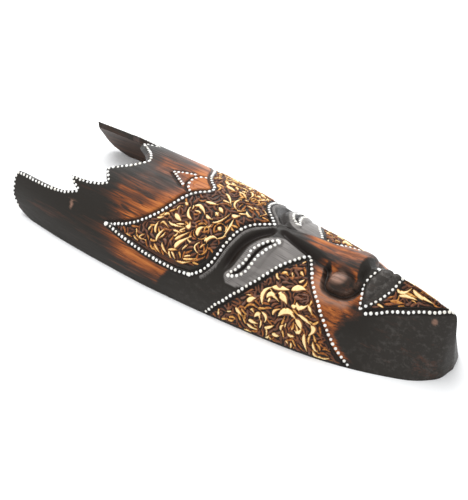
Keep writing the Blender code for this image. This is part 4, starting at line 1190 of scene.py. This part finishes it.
def woodFinish():
    # orange wood that darkens with the burnt level, painted shade included, plus long grain, blotches and
    # short dashes. Over it come mottled bloom, pink wood that is worn in spots and a painted sheen elsewhere,
    # lids with a painted grey sheen hatched by a sine wave round the mask, the scrolls' ground and flanks,
    # black cuts and gold with a painted highlight
    material, tree, shader, place = newFinish("burnt lacquered wood")
    streak = noiseAlong(tree, place, 0.060, 130.0, 5.0, 0.65, 0.4)
    fine = noiseAlong(tree, place, 0.045, 620.0, 3.0, 0.6)
    blotch = noiseAlong(tree, place, 0.40, 26.0, 3.0, 0.5)
    dash = spanOf(tree, noiseAlong(tree, place, 0.110, 270.0, 3.0, 0.6, 0.6), 0.56, 0.68)
    level = attributeOf(tree, "burnAndShade")
    for noise, amount in ((streak, wood["streak"]), (blotch, wood["blotch"]), (fine, wood["fine"])):
        level = plus(tree, level, times(tree, calculate(tree, "SUBTRACT", noise, 0.5), 2.0 * amount))
    level = plus(tree, level, times(tree, dash, wood["dash"]), True)
    colour = rampOf(tree, level, wood["bare"])

    mottle = spanOf(tree, noiseAlong(tree, place, 0.75, 190.0, 4.0, 0.7), 0.50, 0.78, 0.06, 0.38)
    colour = mixColour(tree, times(tree, attributeOf(tree, "bloom"), mottle), colour,
                       wood["bloom"])
    # painted pinkish sheen, and real wear on the worn spots
    sheenAndWearPart = times(tree, attributeOf(tree, "sheenAndWear"), spanOf(tree, streak, 0.38, 0.60))
    colour = mixColour(tree, sheenAndWearPart, colour, wood["sheenAndWear"])

    sway = times(tree, noiseAlong(tree, place, 0.22, 60.0, 2.0, 0.5), 12.0)
    turns = times(tree, attributeOf(tree, "round"), 2.0 * math.pi / wood["hatchSpacing"])
    wave = calculate(tree, "SINE", plus(tree, sway, turns))
    broken = spanOf(tree, noiseAlong(tree, place, 0.09, 300.0, 2.0, 0.5), 0.44, 0.54)
    hatch = times(tree, spanOf(tree, wave, 0.30, 0.90), broken)
    # real dark hatch lines over the painted grey sheen
    lidColour = mixColour(tree, hatch, wood["lid"], wood["hatch"])
    colour = mixColour(tree, attributeOf(tree, "lid"), colour, lidColour)

    rubbed = noiseAlong(tree, place, 1.0, 420.0, 2.0, 0.6)
    uneven = calculate(tree, "SUBTRACT", rubbed, 0.5)
    flank = plus(tree, attributeOf(tree, "rise"), times(tree, uneven, 0.9))
    fieldColour = mixColour(tree, spanOf(tree, attributeOf(tree, "rise"), 0.05, 0.45),
                            wood["ground"], rampOf(tree, flank, wood["flank"]))
    colour = mixColour(tree, attributeOf(tree, "field"), colour, fieldColour)
    colour = mixColour(tree, attributeOf(tree, "cut"), colour, wood["cut"])
    # gold paint with painted highlights, brightest on the lit crest of each stroke
    gold = attributeOf(tree, "gold")
    shine = plus(tree, gold, times(tree, uneven, 0.8))
    colour = mixColour(tree, spanOf(tree, gold, 0.04, 0.22), colour, rampOf(tree, shine, wood["gold"]))
    tree.links.new(colour, shader.inputs["Base Color"])

    smooth = plus(tree, fine, times(tree, blotch, 0.8))
    tree.links.new(spanOf(tree, smooth, 0.7, 1.1, 0.30, 0.54), shader.inputs["Roughness"])
    shader.inputs["Specular IOR Level"].default_value = wood["specular"]
    bumpHeight = plus(tree, times(tree, fine, 0.7), times(tree, streak, 0.5))
    bump = addNode(tree, "ShaderNodeBump", {"Height": bumpHeight, "Strength": 0.35, "Distance": 0.6 * mm})
    tree.links.new(bump.outputs[0], shader.inputs["Normal"])
    return material


hollow = {
    "dark": (0.020, 0.012, 0.009),
    "light": (0.075, 0.036, 0.020),
    "gouge": 1.1 * mm,
    "roughness": 0.62,
}


def hollowFinish():
    # plain stained wood: two browns mixed by long grain, and shallow gouge marks from drawn-out cells
    material, tree, shader, place = newFinish("plain hollow wood")
    grain = noiseAlong(tree, place, 0.060, 160.0, 5.0, 0.65, 0.3)
    colour = mixColour(tree, spanOf(tree, grain, 0.35, 0.65), hollow["dark"], hollow["light"])
    tree.links.new(colour, shader.inputs["Base Color"])
    mapped = addNode(tree, "ShaderNodeMapping", {"Vector": place, "Scale": (1.0, 0.45, 1.0)})
    cells = addNode(tree, "ShaderNodeTexVoronoi", {"Vector": mapped.outputs[0], "Scale": 75.0},
                    feature="SMOOTH_F1")
    depth = plus(tree, cells.outputs["Distance"], times(tree, grain, 0.25))
    bump = addNode(tree, "ShaderNodeBump", {"Height": depth, "Strength": 0.6, "Distance": hollow["gouge"]})
    tree.links.new(bump.outputs[0], shader.inputs["Normal"])
    shader.inputs["Roughness"].default_value = hollow["roughness"]
    return material


paint = {"white": (0.90, 0.90, 0.88), "cream": (0.80, 0.76, 0.66), "roughness": 0.38}


def paintFinish():
    # thick white paint, a little creamier where a fine noise is high
    material, tree, shader, place = newFinish("white dot paint")
    patchy = noiseAlong(tree, place, 1.0, 180.0, 2.0, 0.5)
    colour = mixColour(tree, spanOf(tree, patchy, 0.45, 0.70), paint["white"], paint["cream"])
    tree.links.new(colour, shader.inputs["Base Color"])
    shader.inputs["Roughness"].default_value = paint["roughness"]
    return material


woodMaterial = woodFinish()
hollowMaterial = hollowFinish()
paintMaterial = paintFinish()
print("finishes made")

maskSkin = makeSkin(woodMaterial, hollowMaterial)
print("skin", len(maskSkin.data.polygons))

# clear width beside each border in mm, along the share of the border's path
leafClear = ((0.0, 0.20, 0.42, 0.60, 0.66, 0.80, 1.0), (2.0, 3.5, 6.0, 8.5, 7.5, 5.0, 2.2))
plainClear = ((0.0, 1.0), (4.3, 4.3))
leafStrokes = scrollwork["leaf"] + [mirroredStroke(s) for s in scrollwork["leaf"] if max(s[0:6:2]) < -13]
chinStrokes = scrollwork["chin"] + [mirroredStroke(s) for s in scrollwork["chin"]]
makePatch("forehead_leaf", leafInside, (0.0, 0.80), (-0.118, 0.248),
          (leafOutline, ((lines["leafTop"], ((0.0, 1.0), (2.4, 2.4))), (lines["leafFoot"], leafClear))),
          leafStrokes, 3, woodMaterial, True)
makePatch("cheek", cheekInside, (0.06, 1.0), (-0.368, -0.030),
          (cheekOutline, ((lines["cheekTop"], plainClear), (lines["cheekFront"], plainClear))),
          [mirroredStroke(s) for s in scrollwork["cheek"]], 4, woodMaterial, False)
makePatch("chin", chinInside, (0.0, 0.47), (-0.487, -0.325),
          (chinOutline, ((lines["lowerLip"], ((0.0, 1.0), (2.6, 2.6))), (lines["chinEdge"], plainClear))),
          chinStrokes, 5, woodMaterial, True)


# the painted dots
dots = {
    "spacing": 4.7 * mm,
    "radius": 1.68 * mm,
    "height": 0.8 * mm,
    "sunk": 0.35 * mm,
    "segments": 10,
    "rings": 3,
    "along": ["leafTop", "leafFoot", "cheekTop", "cheekFront", "petal", "arch", "chinEdge", "upperLip",
              "lowerLip", "eyeUpper", "eyeLower"],
    # larger dots where borders meet: girth, place, share of the plain radius
    "large": [(0.662, 0.225, 1.45), (0.731, 0.003, 1.25), (0.116, -0.193, 1.30), (0.405, -0.329, 1.30),
              (0.595, -0.074, 1.20), (0.142, -0.128, 1.10), (0.000, -0.095, 1.15)],
}


def evenly(shares, spacing):
    # (girth, place) points at equal distances along a line of the carving
    girth, place = refined(shares, 12)
    _, lengths = frontPoints(girth, place)
    step = np.hypot(np.diff(girth) * lengths[1:], np.diff(place) * maskLength)
    walk = np.concatenate([[0.0], np.cumsum(step)])
    count = max(2, int(round(walk[-1] / spacing)) + 1)
    wanted = np.linspace(0.0, walk[-1], count)
    return np.stack([np.interp(wanted, walk, girth), np.interp(wanted, walk, place)], axis=1)


def crownLine():
    # the crown's edge, drawn in so that the dots sit beside its corner, and ending before the rim
    edge = np.array(drawn["crownEdge"])
    _, lengths = frontPoints(edge[:, 0], edge[:, 1])
    path = np.stack([edge[:, 0] * lengths, edge[:, 1] * maskLength], axis=1)
    moved = setBack(path, -1.7 * mm)
    line = np.stack([np.clip(moved[:, 0] / lengths, 0.0, 1.0), moved[:, 1] / maskLength], axis=1)
    return line[line[:, 0] < 0.94]


def makeDots():
    chance = np.random.default_rng(7)
    spots = np.concatenate([evenly(drawn[name], dots["spacing"]) for name in dots["along"]]
                           + [evenly(crownLine(), dots["spacing"])])
    spots = spots[spots[:, 0] < 0.982]
    sizes = chance.normal(1.0, 0.08, len(spots))
    large = np.array(dots["large"])
    spots = np.concatenate([spots, large[:, :2]])
    sizes = np.concatenate([sizes, large[:, 2]])
    girth = np.clip(spots[:, 0] + chance.normal(0.0, 0.0008, len(spots)), 0.0, 1.0)
    place = spots[:, 1] + chance.normal(0.0, 0.0004, len(spots))
    points, lengths = frontPoints(girth, place)
    normals = frontNormals(girth, place)
    height = carvedHeight(girth, girth * lengths, place * maskLength)
    centres = points + normals * (height - dots["sunk"])[:, None]
    centres = np.concatenate([centres, centres * [-1.0, 1.0, 1.0]])
    normals = np.concatenate([normals, normals * [-1.0, 1.0, 1.0]])
    size = dots["radius"] * np.concatenate([sizes, sizes])
    side = np.cross(normals, [0.0, 1.0, 0.0])
    side /= np.linalg.norm(side, axis=1)[:, None]
    ahead = np.cross(normals, side)
    # dome: rings of radius r cos(a) at height h sin(a), closed by a flat foot
    angle = np.linspace(0.0, 0.5 * np.pi, dots["rings"] + 1)[:-1]
    turn = np.linspace(0.0, 2.0 * np.pi, dots["segments"], endpoint=False)
    ring = np.stack([(np.cos(angle)[:, None] * np.cos(turn)).ravel(),
                     (np.cos(angle)[:, None] * np.sin(turn)).ravel(),
                     (np.sin(angle)[:, None] * np.ones(len(turn))).ravel()], axis=1)
    dome = np.concatenate([ring, [[0.0, 0.0, 1.0]]])
    top = dots["height"] + dots["sunk"]
    points = (centres[:, None] + size[:, None, None] * (dome[None, :, :1] * side[:, None]
              + dome[None, :, 1:2] * ahead[:, None]) + top * dome[None, :, 2:] * normals[:, None])
    n, segments = len(dome), dots["segments"]
    quads = []
    for level in range(dots["rings"] - 1):
        a = level * segments + np.arange(segments)
        b = level * segments + (np.arange(segments) + 1) % segments
        quads.append(np.stack([a, b, b + segments, a + segments], axis=1))
    quads = np.concatenate(quads)
    lastRing = (dots["rings"] - 1) * segments
    a = lastRing + np.arange(segments)
    b = lastRing + (np.arange(segments) + 1) % segments
    tips = np.stack([a, b, np.full(segments, n - 1)], axis=1)
    foot = np.arange(segments)[::-1]
    first = (np.arange(len(centres)) * n)[:, None, None]
    faces = ((first + quads).reshape(-1, 4).tolist() + (first + tips).reshape(-1, 3).tolist()
             + (first[:, 0] + foot).tolist())
    piece = newPiece("painted_dots", points.reshape(-1, 3), faces, paintMaterial)
    turnOutwards(piece)
    print("dots", len(centres))


makeDots()

# table, light and camera
stage = {"reach": 4.0, "colour": (0.93, 0.94, 0.95), "drop": 0.2 * mm}
floorMesh = bpy.data.meshes.new("table")
reach = stage["reach"]
floorMesh.from_pydata([(-reach, -reach, -stage["drop"]), (reach, -reach, -stage["drop"]),
                       (reach, reach, -stage["drop"]), (-reach, reach, -stage["drop"])],
                      [], [(0, 1, 2, 3)])
table = bpy.data.objects.new("table", floorMesh)
scene.collection.objects.link(table)
floorMesh.materials.append(plainMaterial("pale table", stage["colour"], 0.6))

world = bpy.data.worlds.new("studio")
world.use_nodes = True
world.node_tree.nodes["Background"].inputs["Color"].default_value = (1.0, 1.0, 1.0, 1.0)
world.node_tree.nodes["Background"].inputs["Strength"].default_value = 1.0
scene.world = world

light = {"width": 1.6, "height": 1.2, "power": 30.0, "from": (0.6, 0.9, 1.6)}
softBox = bpy.data.lights.new("soft box", "AREA")
softBox.shape = "RECTANGLE"
softBox.size = light["width"]
softBox.size_y = light["height"]
softBox.energy = light["power"]
box = bpy.data.objects.new("soft box", softBox)
box.location = light["from"]
box.rotation_mode = "QUATERNION"
box.rotation_quaternion = Vector(box.location).to_track_quat("Z", "Y")
scene.collection.objects.link(box)

view = {
    "azimuth": -52.5,
    "elevation": 39.7,
    "distance": 0.9803,
    "target": (-0.02465, -0.01726, 0.03945),
    "lens": 72.0,
    "sensor": 36.0,
}
azimuth, elevation = math.radians(view["azimuth"]), math.radians(view["elevation"])
away = Vector((math.sin(azimuth) * math.cos(elevation), -math.cos(azimuth) * math.cos(elevation),
               math.sin(elevation)))
lens = bpy.data.cameras.new("camera")
lens.lens = view["lens"]
lens.sensor_width = view["sensor"]
camera = bpy.data.objects.new("camera", lens)
camera.location = Vector(view["target"]) + away * view["distance"]
camera.rotation_mode = "QUATERNION"
camera.rotation_quaternion = away.to_track_quat("Z", "Y")
scene.collection.objects.link(camera)
scene.camera = camera
scene.view_settings.view_transform = "Standard"
print("table, light and camera placed")
